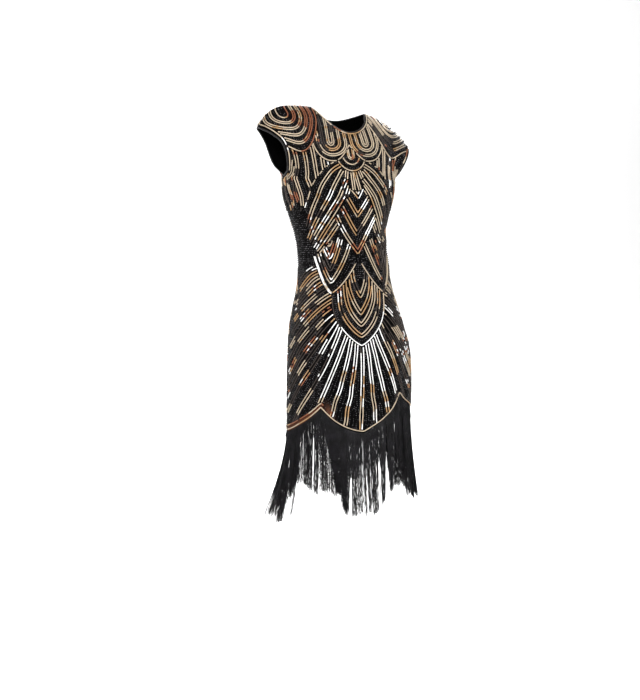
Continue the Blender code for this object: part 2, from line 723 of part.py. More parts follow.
# ---- zip ---------------------------------------------------------------------------------------------
def zip_frame():
    """Where the slider sits: a point on the centre-back seam, the way up along it, the way out of the
    cloth, and the way across."""
    row = int(np.argmin(np.abs(ROWS - ZIP_ROW)))
    u = np.zeros(2)
    v = ROWS[[row - 1, row]] * neck_share(1.0, u)
    low, high = cloth(1.0, u, v)
    up = unit(high - low)
    out = unit(outward(cloth, 1.0, u, v).mean(axis=0))
    across = unit(np.cross(up, out))
    out = np.cross(across, up)
    return (low + high) / 2.0, up, out, across


def half_circle():
    """Points of a half circle of radius 1, from +x over +y to -x."""
    angles = np.linspace(0.0, math.pi, 9)
    return np.stack([np.cos(angles), np.sin(angles)], axis=1)


def arch_points(inner, outer, foot):
    """Outline of the bail in its own plane: two straight legs of height foot and a half ring on them."""
    ring = half_circle()
    legs = [(-outer, -foot), (-inner, -foot)]
    return np.concatenate([[(outer, -foot)], ring * outer, legs, ring[::-1] * inner, [(inner, -foot)]])


def placed(item, frame):
    """Places an object with its axes along a frame's three directions and its origin at the frame's."""
    matrix = np.eye(4)
    matrix[:3, 3], matrix[:3, 0], matrix[:3, 1], matrix[:3, 2] = frame
    item.matrix_world = Matrix(matrix.tolist())
    return item


def flat_piece(name, outline, frame, thickness):
    """A plate from its outline in the frame's first two directions, made as thick as stated."""
    curve = bpy.data.curves.new(name, "CURVE")
    curve.dimensions = "2D"
    curve.fill_mode = "BOTH"
    curve.extrude = thickness / 2.0
    spline = curve.splines.new("POLY")
    spline.points.add(len(outline) - 1)
    spline.points.foreach_set("co", np.pad(outline, ((0, 0), (0, 2))).astype(np.float32).ravel())
    spline.use_cyclic_u = True
    pattern = bpy.data.objects.new(name, curve)
    bpy.data.collections[COLLECTION].objects.link(pattern)
    bpy.context.view_layer.update()
    graph = bpy.context.evaluated_depsgraph_get()
    mesh = bpy.data.meshes.new_from_object(pattern.evaluated_get(graph))
    bpy.data.objects.remove(pattern)
    bpy.data.curves.remove(curve)
    solid = bmesh.new()
    solid.from_mesh(mesh)
    bmesh.ops.remove_doubles(solid, verts=solid.verts, dist=1e-7)
    bmesh.ops.recalc_face_normals(solid, faces=solid.faces)
    solid.to_mesh(mesh)
    solid.free()
    return placed(add_object(name, mesh, "black_metal"), frame)


def tab_outline():
    """Outline of the pull in its plane, x across and y down from the hinge: straight at the eye, then
    wider towards a round end. It is one loop, with the eye closed by its own cross bar."""
    half = EYE_WIDTH / 2.0 + EYE_WALL
    end = TAB_WIDTH / 2.0
    round_end = half_circle() * end + (0.0, TAB_LENGTH - end)
    return np.concatenate([[(half, -TAB_THICKNESS / 2.0)], round_end, [(-half, -TAB_THICKNESS / 2.0)]])


def make_zip():
    """The slider with its bail, and the pull whose cross bar turns under the bail. The pull's origin is on
    its hinge."""
    foot, up, out, across = zip_frame()
    middle = foot + out * (SEAM_GAP + SLIDER_THICKNESS / 2.0)
    slider = box("zip_slider", (SLIDER_WIDTH, SLIDER_LENGTH, SLIDER_THICKNESS), (middle, across, up, out))
    hinge = foot + out * (SEAM_GAP + SLIDER_THICKNESS + AXIS_ABOVE_SLIDER)
    sink = AXIS_ABOVE_SLIDER + SLIDER_THICKNESS / 2.0
    arch = arch_points(BAIL_INNER, BAIL_INNER + BAIL_THICKNESS, sink)
    bail = flat_piece("bail", arch, (hinge, up, out, across), BAIL_WIDTH)
    combine(slider, bail, "UNION")
    pull = flat_piece("zip_pull_tab", tab_outline(), (hinge, -across, -up, out), TAB_THICKNESS)
    eye_middle = hinge - up * (TAB_THICKNESS / 2.0 + EYE_LENGTH / 2.0)
    eye = box("eye", (EYE_WIDTH, EYE_LENGTH, 4.0 * TAB_THICKNESS), (eye_middle, across, up, out))
    combine(pull, eye, "DIFFERENCE")


def box(name, size, frame):
    """A block of this size with its middle at a frame's origin and its sides along its directions."""
    made = bmesh.new()
    bmesh.ops.create_cube(made, size=1.0)
    bmesh.ops.scale(made, vec=size, verts=made.verts)
    mesh = bpy.data.meshes.new(name)
    made.to_mesh(mesh)
    made.free()
    return placed(add_object(name, mesh, "black_metal"), frame)


def combine(target, tool, operation):
    """Joins or cuts the target with the tool, and removes the tool."""
    modifier = target.modifiers.new(operation.lower(), "BOOLEAN")
    modifier.operation = operation
    modifier.object = tool
    modifier.solver = "EXACT"
    bpy.context.view_layer.update()
    graph = bpy.context.evaluated_depsgraph_get()
    result = bpy.data.meshes.new_from_object(target.evaluated_get(graph))
    target.modifiers.clear()
    target.data = result
    bpy.data.objects.remove(tool)


# ---- the dress ---------------------------------------------------------------------------------------
def clear_scene():
    """Removes the startup scene's objects and makes the dress's collection."""
    for item in list(bpy.data.objects):
        bpy.data.objects.remove(item)
    bpy.context.scene.collection.children.link(bpy.data.collections.new(COLLECTION))


def build_dress():
    """Makes every piece of the dress."""
    front = make_panel("front_panel", -1.0, -HALF_COLUMNS, HALF_COLUMNS)
    back_left = make_panel("back_left", 1.0, -HALF_COLUMNS, 0)
    back_right = make_panel("back_right", 1.0, 0, HALF_COLUMNS)
    make_neck_binding(front, back_left, back_right)
    make_armhole_binding("armhole_binding_left", front, back_left, -1)
    make_armhole_binding("armhole_binding_right", front, back_right, 1)
    make_fringe("fringe_front", front)
    make_fringe("fringe_back_left", back_left)
    make_fringe("fringe_back_right", back_right)
    make_zip()


clear_scene()
build_dress()
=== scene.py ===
"""Looks of the flapper dress: black beaded mesh with bugle-bead lines, narrow bindings and long fringe.

Units are metres, +Z is up and the front faces -Y. The cloth is the same surface as in the part: oval rings
below the underarms and curved columns above them. Places on the cloth are given in three ways:

  u, v   columns and rows: u from -1 at the left seam to 1 at the right one, v from -1 at the hem over 0 at
         the underarm to 1 at the shoulder line
  s, t   s metres to the right of the centre line, measured on the cloth, and t the level: the height below
         the underarm, and above it the length of cloth up from the underarm
  x, t   the same on the right half, mirrored onto the left one
"""

import math
from functools import partial

import bpy
import numpy as np
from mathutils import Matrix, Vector


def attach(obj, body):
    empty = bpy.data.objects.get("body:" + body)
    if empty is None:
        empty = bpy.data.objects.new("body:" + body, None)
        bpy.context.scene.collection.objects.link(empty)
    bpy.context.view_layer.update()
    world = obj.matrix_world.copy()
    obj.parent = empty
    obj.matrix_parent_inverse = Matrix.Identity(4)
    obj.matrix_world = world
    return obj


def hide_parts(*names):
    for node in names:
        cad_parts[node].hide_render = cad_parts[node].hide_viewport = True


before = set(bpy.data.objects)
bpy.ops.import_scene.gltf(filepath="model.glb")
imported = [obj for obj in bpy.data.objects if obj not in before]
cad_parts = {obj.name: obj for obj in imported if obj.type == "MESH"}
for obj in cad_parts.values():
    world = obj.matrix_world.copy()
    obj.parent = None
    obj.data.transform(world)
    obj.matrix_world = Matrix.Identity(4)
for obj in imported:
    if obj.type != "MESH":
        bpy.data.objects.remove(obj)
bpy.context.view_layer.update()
rng = np.random.default_rng(1926)

# ---- sizes of the cloth ----
NECK_U = 5 / 12
RING_COLUMNS = ("z", "half_width", "front", "back", "centre_x", "turn")
RINGS = (
    (-0.080, 0.1460, 0.088, 0.090, 0.0000, 8.0),
    (-0.175, 0.1520, 0.107, 0.099, -0.0015, 8.0),
    (-0.221, 0.1475, 0.114, 0.098, -0.0025, 8.5),
    (-0.262, 0.1365, 0.110, 0.092, -0.0020, 8.5),
    (-0.317, 0.1205, 0.099, 0.083, 0.0010, 8.0),
    (-0.375, 0.1200, 0.093, 0.081, 0.0085, 7.5),
    (-0.425, 0.1218, 0.095, 0.088, 0.0125, 6.5),
    (-0.465, 0.1275, 0.102, 0.098, 0.0145, 5.5),
    (-0.507, 0.1385, 0.110, 0.109, 0.0172, 4.0),
    (-0.548, 0.1490, 0.117, 0.118, 0.0200, 3.5),
    (-0.627, 0.1600, 0.122, 0.126, 0.0262, 3.0),
    (-0.707, 0.1628, 0.122, 0.125, 0.0275, 3.0),
    (-0.790, 0.1628, 0.121, 0.122, 0.0262, 3.0),
    (-0.870, 0.1635, 0.121, 0.121, 0.0245, 3.0),
)
TYPICAL_HALF_WIDTH = 0.150
TYPICAL_DEPTH = 0.115
HEM_LOW_Z = -0.8220
HEM_SLOPE = 0.144
HEM_SIDE_LIFT = 0.019
SCALLOP_RISE = 0.070
SCALLOP_STRAIGHT = 0.45
SCALLOP_POWER = 2.3
CHEST_TURN = 8.0
UNDERARM_Z = -0.1765
UNDERARM_SLOPE = -0.0055
NECK_FRONT_CUT = 0.435
NECK_BACK_CUT = 0.215
NECK_POWER = 0.68
LEFT_SHOULDER = (
    (-0.0782, 0.012, 0.0080),
    (-0.1180, 0.012, 0.0095),
    (-0.1568, 0.011, 0.0070),
    (-0.1850, 0.010, -0.0040),
    (-0.2050, 0.009, -0.0215),
    (-0.2226, 0.008, -0.0470),
)
RIGHT_SHOULDER = (
    (0.0782, 0.012, -0.0080),
    (0.1000, 0.012, -0.0150),
    (0.1220, 0.012, -0.0250),
    (0.1500, 0.011, -0.0410),
    (0.1760, 0.010, -0.0610),
    (0.1970, 0.008, -0.0930),
)
LEFT_FRONT_EDGE = (
    (-0.1530, -0.026, -0.1600),
    (-0.1605, -0.049, -0.1400),
    (-0.1685, -0.059, -0.1120),
    (-0.1780, -0.054, -0.0860),
    (-0.1985, -0.034, -0.0640),
)
LEFT_BACK_EDGE = (
    (-0.1530, 0.026, -0.1590),
    (-0.1605, 0.052, -0.1380),
    (-0.1680, 0.064, -0.1090),
    (-0.1790, 0.060, -0.0840),
    (-0.1990, 0.042, -0.0625),
)
RIGHT_FRONT_EDGE = (
    (0.1525, -0.022, -0.1700),
    (0.1545, -0.043, -0.1540),
    (0.1620, -0.052, -0.1340),
    (0.1780, -0.036, -0.1150),
)
RIGHT_BACK_EDGE = (
    (0.1525, 0.022, -0.1690),
    (0.1550, 0.045, -0.1540),
    (0.1630, 0.054, -0.1330),
    (0.1785, 0.040, -0.1140),
)
EDGE_POWER = 0.75
ARMHOLE_DRAW = 0.26
ARMHOLE_POWER = 0.7
DRAW_FROM = 0.30
DRAW_POWER = 1.3
FLARE_FROM = 0.45
FLARE_POWER = 2.2
COLUMN_PULL = 1.35
TOP_DIRECTIONS = (
    # u, back, up
    (0.0, 0.80, 0.60),
    (NECK_U, 0.92, 0.40),
    (0.75, 0.98, 0.20),
    (1.0, 1.00, 0.04),
)
# place runs round the body: 0 centre front, 1 right side, 2 centre back, 3 (or -1) left side.
FOLDS = (
    # place_top, place_low, z_top, z_low, width, height
    # soft flutes that fall from the hips
    (-0.70, -0.74, -0.560, -0.900, 0.110, 0.0045),
    (-0.42, -0.46, -0.600, -0.900, 0.090, -0.0040),
    (-0.16, -0.20, -0.570, -0.900, 0.085, 0.0036),
    (0.10, 0.06, -0.620, -0.900, 0.075, -0.0036),
    (0.34, 0.32, -0.560, -0.900, 0.085, 0.0046),
    (0.60, 0.60, -0.610, -0.900, 0.090, -0.0042),
    (0.92, 0.94, -0.560, -0.900, 0.120, 0.0040),
    (1.30, 1.32, -0.600, -0.900, 0.100, -0.0036),
    (1.60, 1.58, -0.570, -0.900, 0.100, 0.0044),
    (2.00, 2.00, -0.640, -0.900, 0.110, -0.0032),
    (2.38, 2.42, -0.570, -0.900, 0.105, 0.0044),
    (2.72, 2.70, -0.600, -0.900, 0.095, -0.0038),
    (3.02, 3.00, -0.580, -0.900, 0.100, 0.0034),
    # drags from the bust and the hips into the waist
    (-0.88, -0.46, -0.300, -0.420, 0.120, 0.0034),
    (-0.92, -0.50, -0.365, -0.475, 0.110, 0.0032),
    (0.86, 0.48, -0.295, -0.400, 0.120, 0.0034),
    (0.90, 0.50, -0.350, -0.460, 0.110, 0.0028),
    (2.10, 1.62, -0.330, -0.385, 0.140, 0.0034),
    (1.96, 2.44, -0.400, -0.350, 0.140, 0.0034),
    # crumples on the lower cap and under the arms
    (0.86, 0.98, -0.075, -0.150, 0.050, 0.0034),
    (0.70, 0.84, -0.090, -0.190, 0.055, -0.0030),
    (-0.74, -0.84, -0.110, -0.230, 0.060, 0.0022),
    (1.16, 1.06, -0.090, -0.160, 0.055, 0.0030),
    (3.20, 3.12, -0.100, -0.180, 0.055, 0.0028),
    # finer creases that only the eye needs: at the waist, beside the bust and over the hips
    (-0.80, -0.62, -0.330, -0.395, 0.050, 0.0012),
    (-0.60, -0.36, -0.385, -0.440, 0.050, -0.0011),
    (-0.30, -0.10, -0.395, -0.430, 0.060, 0.0009),
    (0.70, 0.54, -0.325, -0.385, 0.050, 0.0012),
    (0.44, 0.22, -0.390, -0.440, 0.050, 0.0010),
    (-0.62, -0.72, -0.180, -0.260, 0.040, -0.0010),
    (0.60, 0.72, -0.190, -0.270, 0.045, 0.0011),
    (-0.30, -0.32, -0.640, -0.860, 0.040, 0.0014),
    (0.22, 0.20, -0.660, -0.860, 0.035, 0.0013),
    (0.48, 0.46, -0.640, -0.860, 0.036, -0.0013),
    (1.80, 1.80, -0.660, -0.860, 0.040, 0.0013),
    (2.20, 2.20, -0.650, -0.860, 0.040, -0.0012),
    (2.56, 2.56, -0.660, -0.860, 0.040, 0.0013),
)
FOLD_END = 0.045
CLOTH_THICKNESS = 0.0013

# ---- materials' colours ----
GROUND_BLACK = (0.0010, 0.0009, 0.0010)
TINT_COPPER = (0.085, 0.034, 0.020)
SEED_BLACK = (0.0055, 0.0052, 0.0055)
# the grey of some seeds is painted glint: highlights of black glass painted into their colour
SEED_PAINTED_GLINT = (0.125, 0.120, 0.125)
THREAD_BLACK = (0.0020, 0.0018, 0.0023)
# the lighter thread colour is painted sheen
THREAD_PAINTED_SHEEN = (0.010, 0.0092, 0.0115)
BEAD_FINISHES = {
    # colour, roughness
    "champagne": ((0.49, 0.395, 0.285), 0.28),
    "gold": ((0.43, 0.26, 0.125), 0.28),
    "copper": ((0.28, 0.098, 0.046), 0.32),
    # silver-lined beads coloured near white as painted glints
    "silver": ((0.98, 0.96, 0.93), 0.22),
    # dark beads; on the right-hand half of the design this dark share is painted shade
    "smoke": ((0.052, 0.042, 0.037), 0.26),
}


# ---- numbers ----
def unit(vectors):
    """Each vector divided by its own length; a vector of no length stays as it is."""
    return vectors / np.maximum(np.linalg.norm(vectors, axis=-1, keepdims=True), 1e-12)


def ease(x):
    """0 below 0, 1 above 1 and a smooth S between: 3x^2 - 2x^3."""
    x = np.clip(x, 0.0, 1.0)
    return x * x * (3.0 - 2.0 * x)


def through(stations, values, at):
    """A smooth curve through the values at rising stations, read at the places in at: between two stations
    a cubic whose slope at each is that of the straight line between the station's neighbours."""
    stations = np.asarray(stations, float)
    values = np.asarray(values, float)
    slopes = np.gradient(values, stations, axis=0)
    at = np.asarray(at, float)
    i = np.clip(np.searchsorted(stations, at) - 1, 0, len(stations) - 2)
    step = stations[i + 1] - stations[i]
    s = (at - stations[i]) / step
    if values.ndim > 1:
        s, step = s[..., None], step[..., None]
    rise = values[i + 1] - values[i]
    a = slopes[i] * step - rise
    b = rise - slopes[i + 1] * step
    return values[i] + s * rise + s * (1.0 - s) * (a * (1.0 - s) + b * s)


def run_along(points):
    """Length along a line of points, from 0 at the first."""
    return np.concatenate([[0.0], np.cumsum(np.linalg.norm(np.diff(points, axis=0), axis=1))])


# ---- the surface of the cloth ----
RING_Z = np.array([row[0] for row in RINGS])[::-1]


def ring_value(name, z):
    """A column of RINGS read at height z."""
    values = np.array([row[RING_COLUMNS.index(name)] for row in RINGS])[::-1]
    return through(RING_Z, values, z)


def oval_angles():
    """Angles round a typical oval of the dress, at equal steps of cloth from one side to the other."""
    angles = np.linspace(-math.pi / 2, math.pi / 2, 721)
    steps = np.hypot(TYPICAL_HALF_WIDTH * np.cos(angles), TYPICAL_DEPTH * np.sin(angles))
    run = np.concatenate([[0.0], np.cumsum((steps[1:] + steps[:-1]) / 2)])
    return 2.0 * run / run[-1] - 1.0, angles


OVAL_U, OVAL_ANGLE = oval_angles()


def ring_point(side, u, z):
    """The point of the oval at height z. side is -1 in front and 1 behind."""
    angle = np.interp(u, OVAL_U, OVAL_ANGLE)
    depth = ring_value("front" if side < 0 else "back", z)
    x = ring_value("half_width", z) * np.sin(angle)
    y = side * depth * np.cos(angle)
    turn = np.radians(ring_value("turn", z))
    middle = ring_value("centre_x", z)
    return np.stack(
        [middle + x * np.cos(turn) - y * np.sin(turn), x * np.sin(turn) + y * np.cos(turn), z],
        axis=-1,
    )


def hem_z(u):
    """Height of the hem: four scallops, low at the centres and the sides, with a peak halfway between."""
    wave = 1.0 - np.abs(2.0 * np.abs(u) - 1.0)
    rise = SCALLOP_STRAIGHT * wave + (1.0 - SCALLOP_STRAIGHT) * wave**SCALLOP_POWER
    across = np.sin(np.interp(u, OVAL_U, OVAL_ANGLE))
    tilt = HEM_SLOPE * across * ring_value("half_width", HEM_LOW_Z)
    return HEM_LOW_Z + tilt + HEM_SIDE_LIFT * across**2 + SCALLOP_RISE * rise


def chest(points):
    """Points of the chest, turned with it about the vertical through the origin."""
    turn = math.radians(CHEST_TURN)
    x, y, z = np.moveaxis(np.asarray(points, float), -1, 0)
    return np.stack(
        [x * math.cos(turn) - y * math.sin(turn), x * math.sin(turn) + y * math.cos(turn), z], axis=-1
    )


def shoulder_line():
    """The line the columns run up to: places u with their points."""
    places, points = [], []
    for hand, table in ((-1.0, LEFT_SHOULDER[::-1]), (1.0, RIGHT_SHOULDER)):
        share = run_along(table)
        inner, outer = (-1.0, -NECK_U) if hand < 0 else (NECK_U, 1.0)
        places.append(inner + (outer - inner) * share / share[-1])
        points.append(np.array(table))
    return np.concatenate(places), np.concatenate(points)


LINE_U, LINE_POINTS = shoulder_line()


def top_direction(side, u):
    """The way a column runs as it reaches the shoulder line, read by the square of u."""
    at, back, up = np.array(TOP_DIRECTIONS).T
    back_and_up = through(at**2, np.stack([back, up], axis=1), u**2)
    return unit(np.stack([0.0 * u, -side * back_and_up[..., 0], back_and_up[..., 1]], axis=-1))


def neck_share(side, u):
    """How much of the column u is cloth: all of it outside the neck points, and less towards the centre."""
    cut = NECK_FRONT_CUT if side < 0 else NECK_BACK_CUT
    return 1.0 - cut * (1.0 - np.minimum(np.abs(u) / NECK_U, 1.0) ** 2) ** NECK_POWER


def underarm_z(u):
    """Height of the row where the rings end and the columns of the chest begin."""
    return UNDERARM_Z + UNDERARM_SLOPE * u


def curved_column(side, u, v):
    """A column of the chest: a cubic from the underarm ring, left along the body, to the shoulder line,
    reached along top_direction."""
    start = ring_point(side, u, underarm_z(u))
    end = chest(through(LINE_U, LINE_POINTS, u))
    reach = np.linalg.norm(end - start, axis=-1, keepdims=True) * COLUMN_PULL
    leave = unit(ring_point(side, u, underarm_z(u) + 0.002) - start) * reach
    arrive = chest(top_direction(side, u)) * reach
    v = v[..., None]
    return (
        start * (1.0 - v) ** 2 * (1.0 + 2.0 * v)
        + leave * v * (1.0 - v) ** 2
        + end * v * v * (3.0 - 2.0 * v)
        - arrive * v * v * (1.0 - v)
    )


def cap_edge(side, hand, v):
    """The open edge of a cap, from the underarm at v 0 to the tip at v 1, read from one smooth loop."""
    front = LEFT_FRONT_EDGE if hand < 0 else RIGHT_FRONT_EDGE
    back = LEFT_BACK_EDGE if hand < 0 else RIGHT_BACK_EDGE
    if side > 0:
        front, back = back, front
    at = np.full(1, float(hand))
    low = ring_point(side, at, underarm_z(at))
    tip = chest(through(LINE_U, LINE_POINTS, at))
    loop = np.concatenate([chest(back[:1]), low, chest(front), tip, chest(back[::-1]), low])
    run = run_along(loop)
    first, last = run[1], run[len(front) + 2]
    return through(run, loop, first + (last - first) * v**EDGE_POWER)


def share_beyond(limit, u, hand):
    """0 up to the column limit on the side hand, and rising to 1 at that side's last column."""
    return np.clip((hand * u - limit) / (1.0 - limit), 0.0, 1.0)


def chest_point(side, u, v):
    """The chest above the underarms: columns that draw together beside the armholes and then flare."""
    level = v**EDGE_POWER
    draw = ARMHOLE_DRAW * (4.0 * level * (1.0 - level)) ** ARMHOLE_POWER
    drawn = u
    for hand in (-1.0, 1.0):
        drawn = drawn - hand * draw * share_beyond(DRAW_FROM, u, hand) ** DRAW_POWER
    point = curved_column(side, drawn, v)
    for hand in (-1.0, 1.0):
        flare = cap_edge(side, hand, v) - curved_column(side, hand * (1.0 - draw), v)
        point = point + flare * share_beyond(FLARE_FROM, u, hand)[..., None] ** FLARE_POWER
    return point


def plain_cloth(side, u, v):
    """The cloth with no folds and no neck cut out."""
    lower = np.clip(v, -1.0, 0.0)
    z = underarm_z(u) + (underarm_z(u) - hem_z(u)) * lower
    body = ring_point(side, u, z)
    upper = chest_point(side, u, np.clip(v, 0.0, 1.0))
    return np.where((v > 0.0)[..., None], upper, body)


def outward(surface, side, u, v):
    """The unit normal of a surface of u and v, from points a small step to each side."""
    step = 0.004
    across = surface(side, np.minimum(u + step, 1.0), v) - surface(side, np.maximum(u - step, -1.0), v)
    up = surface(side, u, np.minimum(v + step, 1.0)) - surface(side, u, np.maximum(v - step, -1.0))
    return unit(np.cross(across, up)) * -side


def place_round(side, u):
    """Place round the body: 0 centre front, 1 right side, 2 centre back, 3 left side."""
    return u if side < 0 else 2.0 - u


def fold_height(place, z):
    """How far the folds move the cloth out. Each is a smooth bell across, and rises and falls along."""
    total = np.zeros(np.broadcast(place, z).shape)
    for place_top, place_low, z_top, z_low, width, height in FOLDS:
        share = (z_top - z) / (z_top - z_low)
        middle = place_top + (place_low - place_top) * share
        off = (place - middle + 2.0) % 4.0 - 2.0
        ends = ease((z_top - z) / FOLD_END) * ease((z - z_low) / FOLD_END)
        total += height * np.exp(-((off / width) ** 2)) * ends
    return total


def cloth(side, u, v):
    """The cloth with its folds."""
    plain = plain_cloth(side, u, v)
    height = fold_height(place_round(side, u), plain[..., 2])
    return plain + outward(plain_cloth, side, u, v) * height[..., None]


# ---- a fine table of the cloth, for what is sewn on it ----
FINE_COLUMNS = 401
FINE_ROWS = 521


def fine_cloth(side):
    """Points and normals of one side of the dress on a fine grid of rows by columns."""
    u, v = np.meshgrid(np.linspace(-1.0, 1.0, FINE_COLUMNS), np.linspace(-1.0, 1.0, FINE_ROWS))
    points = cloth(side, u, v)
    across = np.gradient(points, axis=1)
    up = np.gradient(points, axis=0)
    return points, unit(np.cross(across, up)) * -side


FINE = {side: fine_cloth(side) for side in (-1.0, 1.0)}


def on_cloth(side, u, v):
    """Points and normals of the cloth at u, v, read between the points of the fine grid."""
    points, normals = FINE[side]
    column = (np.clip(u, -1.0, 1.0) + 1.0) / 2.0 * (FINE_COLUMNS - 1)
    row = (np.clip(v, -1.0, 1.0) + 1.0) / 2.0 * (FINE_ROWS - 1)
    j = np.minimum(column.astype(int), FINE_COLUMNS - 2)
    i = np.minimum(row.astype(int), FINE_ROWS - 2)
    a, b = (column - j)[..., None], (row - i)[..., None]
    both = []
    for table in (points, normals):
        low = table[i, j] * (1.0 - a) + table[i, j + 1] * a
        high = table[i + 1, j] * (1.0 - a) + table[i + 1, j + 1] * a
        both.append(low * (1.0 - b) + high * b)
    return both[0], unit(both[1])


# ---- places by s and t ----
LEVELS = np.linspace(-0.90, 0.06, 97)
COLUMN_U = np.linspace(-1.0, 1.0, 81)


def column_lengths(side):
    """Length of each column of the chest, from the underarm to the shoulder line."""
    u, v = np.meshgrid(COLUMN_U, np.linspace(0.0, 1.0, 61))
    return np.linalg.norm(np.diff(plain_cloth(side, u, v), axis=0), axis=-1).sum(axis=0)


def level_widths(side):
    """Cloth from the centre line to the side seam at each level; above the underarm, twice the cloth from
    the centre line to the column halfway."""
    widths = []
    centre_length = np.interp(0.0, COLUMN_U, COLUMN_LENGTHS[side])
    for level in LEVELS:
        if level <= UNDERARM_Z:
            u = np.linspace(0.0, 1.0, 61)
            line = ring_point(side, u, np.full(61, level))
            widths.append(run_along(line)[-1])
        else:
            u = np.linspace(0.0, 0.5, 31)
            v = np.full(31, min((level - UNDERARM_Z) / centre_length, 1.0))
            widths.append(2.0 * run_along(plain_cloth(side, u, v))[-1])
    return np.array(widths)


COLUMN_LENGTHS = {side: column_lengths(side) for side in (-1.0, 1.0)}
LEVEL_WIDTHS = {side: level_widths(side) for side in (-1.0, 1.0)}


def to_u_v(side, s, t):
    """Columns and rows of the places s, t."""
    u = s / np.interp(t, LEVELS, LEVEL_WIDTHS[side])
    seam = underarm_z(u)
    low = (t - seam) / (seam - hem_z(np.clip(u, -1.0, 1.0)))
    high = (t - seam) / np.interp(u, COLUMN_U, COLUMN_LENGTHS[side])
    return u, np.where(t < seam, low, high)


def to_s_t(side, u, v):
    """The places s, t of columns and rows."""
    seam = underarm_z(u)
    t = np.where(
        v < 0.0,
        seam + (seam - hem_z(u)) * v,
        seam + np.interp(u, COLUMN_U, COLUMN_LENGTHS[side]) * v,
    )
    return u * np.interp(t, LEVELS, LEVEL_WIDTHS[side]), t


# ---- meshes ----
def mesh_object(name, points, faces, finish, body="root"):
    """A named object from points and arrays of faces, one array for each number of corners."""
    points = np.asarray(points, np.float32).reshape(-1, 3)
    faces = [np.asarray(group, np.int32) for group in faces]
    corners = np.concatenate([group.reshape(-1) for group in faces])
    sizes = np.concatenate([np.full(len(group), group.shape[1]) for group in faces])
    starts = np.concatenate([[0], np.cumsum(sizes)[:-1]])
    mesh = bpy.data.meshes.new(name)
    mesh.vertices.add(len(points))
    mesh.vertices.foreach_set("co", points.ravel())
    mesh.loops.add(len(corners))
    mesh.loops.foreach_set("vertex_index", corners)
    mesh.polygons.add(len(sizes))
    mesh.polygons.foreach_set("loop_start", starts.astype(np.int32))
    mesh.update(calc_edges=True)
    mesh.shade_smooth()
    mesh.materials.append(finish)
    made = bpy.data.objects.new(name, mesh)
    bpy.context.scene.collection.objects.link(made)
    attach(made, body)
    return made


def grid_quads(rows, columns):
    """Quads of a grid of points."""
    corner = (np.arange(rows - 1)[:, None] * columns + np.arange(columns - 1)).reshape(-1)
    return np.stack([corner, corner + 1, corner + 1 + columns, corner + columns], axis=1)


def tubes(centres, across, out, radius, sides):
    """Many tubes at once. Round each centre of each line lies a ring of corners, across cos a + out sin a
    times the radius there; the rings of a line are joined, and its ends closed."""
    count, levels = centres.shape[:2]
    angle = np.arange(sides)[:, None] * 2.0 * math.pi / sides
    ring = np.cos(angle) * across[:, None, None] + np.sin(angle) * out[:, None, None]
    points = centres[:, :, None] + ring * radius[:, None, None]
    near = np.arange(count)[:, None] * levels * sides + np.arange(sides)
    first = near[:, None, :1] + np.arange(levels - 1)[None, :, None] * sides
    corner = np.arange(sides)[None, None]
    ahead = (corner + 1) % sides
    quads = [first + corner, first + corner + sides, first + ahead + sides, first + ahead]
    caps = np.concatenate([near, (near + (levels - 1) * sides)[:, ::-1]])
    return points, [np.stack(quads, axis=-1).reshape(-1, 4), caps]


def set_map(made, per_point, name="cloth_map"):
    """Gives the mesh a UV map from a pair of numbers for each of its points."""
    mesh = made.data
    corner_points = np.empty(len(mesh.loops), np.int32)
    mesh.loops.foreach_get("vertex_index", corner_points)
    layer = mesh.uv_layers.new(name=name)
    layer.data.foreach_set("uv", np.asarray(per_point, np.float32)[corner_points].ravel())


# ---- materials ----
def new_material(name, colour, roughness, metallic=0.0, **sockets):
    """A Principled material with its plain values. Returns the material, its node tree and its shader."""
    made = bpy.data.materials.new(name)
    made.use_nodes = True
    tree = made.node_tree
    shader = tree.nodes["Principled BSDF"]
    shader.inputs["Base Color"].default_value = (*colour, 1.0)
    shader.inputs["Roughness"].default_value = roughness
    shader.inputs["Metallic"].default_value = metallic
    for socket, value in sockets.items():
        shader.inputs[socket.replace("_", " ")].default_value = value
    return made, tree, shader


def add_node(tree, kind, values=None, **links):
    """A node with values on its inputs, and links from other nodes' sockets into its inputs."""
    node = tree.nodes.new(kind)
    for key, value in (values or {}).items():
        if isinstance(key, str) and hasattr(node, key) and key not in node.inputs:
            setattr(node, key, value)
        else:
            node.inputs[key].default_value = value
    for key, source in links.items():
        target = node.inputs[int(key[1:])] if key[0] == "i" and key[1:].isdigit() else node.inputs[key]
        tree.links.new(source, target)
    return node


def make_mottle():
    """A node group for uneven finishes: soft noise, stretched between two of its values to a mask from 0
    to 1, and two colours blended by that mask."""
    group = bpy.data.node_groups.new("mottle", "ShaderNodeTree")
    sockets = {"Place": "Vector", "Scale": "Float", "Detail": "Float", "From": "Float", "To": "Float"}
    for name, kind in {**sockets, "Low": "Color", "High": "Color"}.items():
        group.interface.new_socket(name, in_out="INPUT", socket_type="NodeSocket" + kind)
    for name, kind in {"Mask": "Float", "Colour": "Color"}.items():
        group.interface.new_socket(name, in_out="OUTPUT", socket_type="NodeSocket" + kind)
    given = group.nodes.new("NodeGroupInput").outputs
    noise = add_node(
        group, "ShaderNodeTexNoise", Vector=given["Place"], Scale=given["Scale"], Detail=given["Detail"]
    )
    stretch = {"Value": noise.outputs["Fac"], "From Min": given["From"], "From Max": given["To"]}
    mask = add_node(group, "ShaderNodeMapRange", **stretch).outputs["Result"]
    mix = add_node(
        group, "ShaderNodeMix", {"data_type": "RGBA"}, i0=mask, i6=given["Low"], i7=given["High"]
    )
    result = group.nodes.new("NodeGroupOutput")
    group.links.new(mask, result.inputs["Mask"])
    group.links.new(mix.outputs[2], result.inputs["Colour"])
    return group


MOTTLE = make_mottle()
PLAIN = (0.0, 0.0, 0.0)


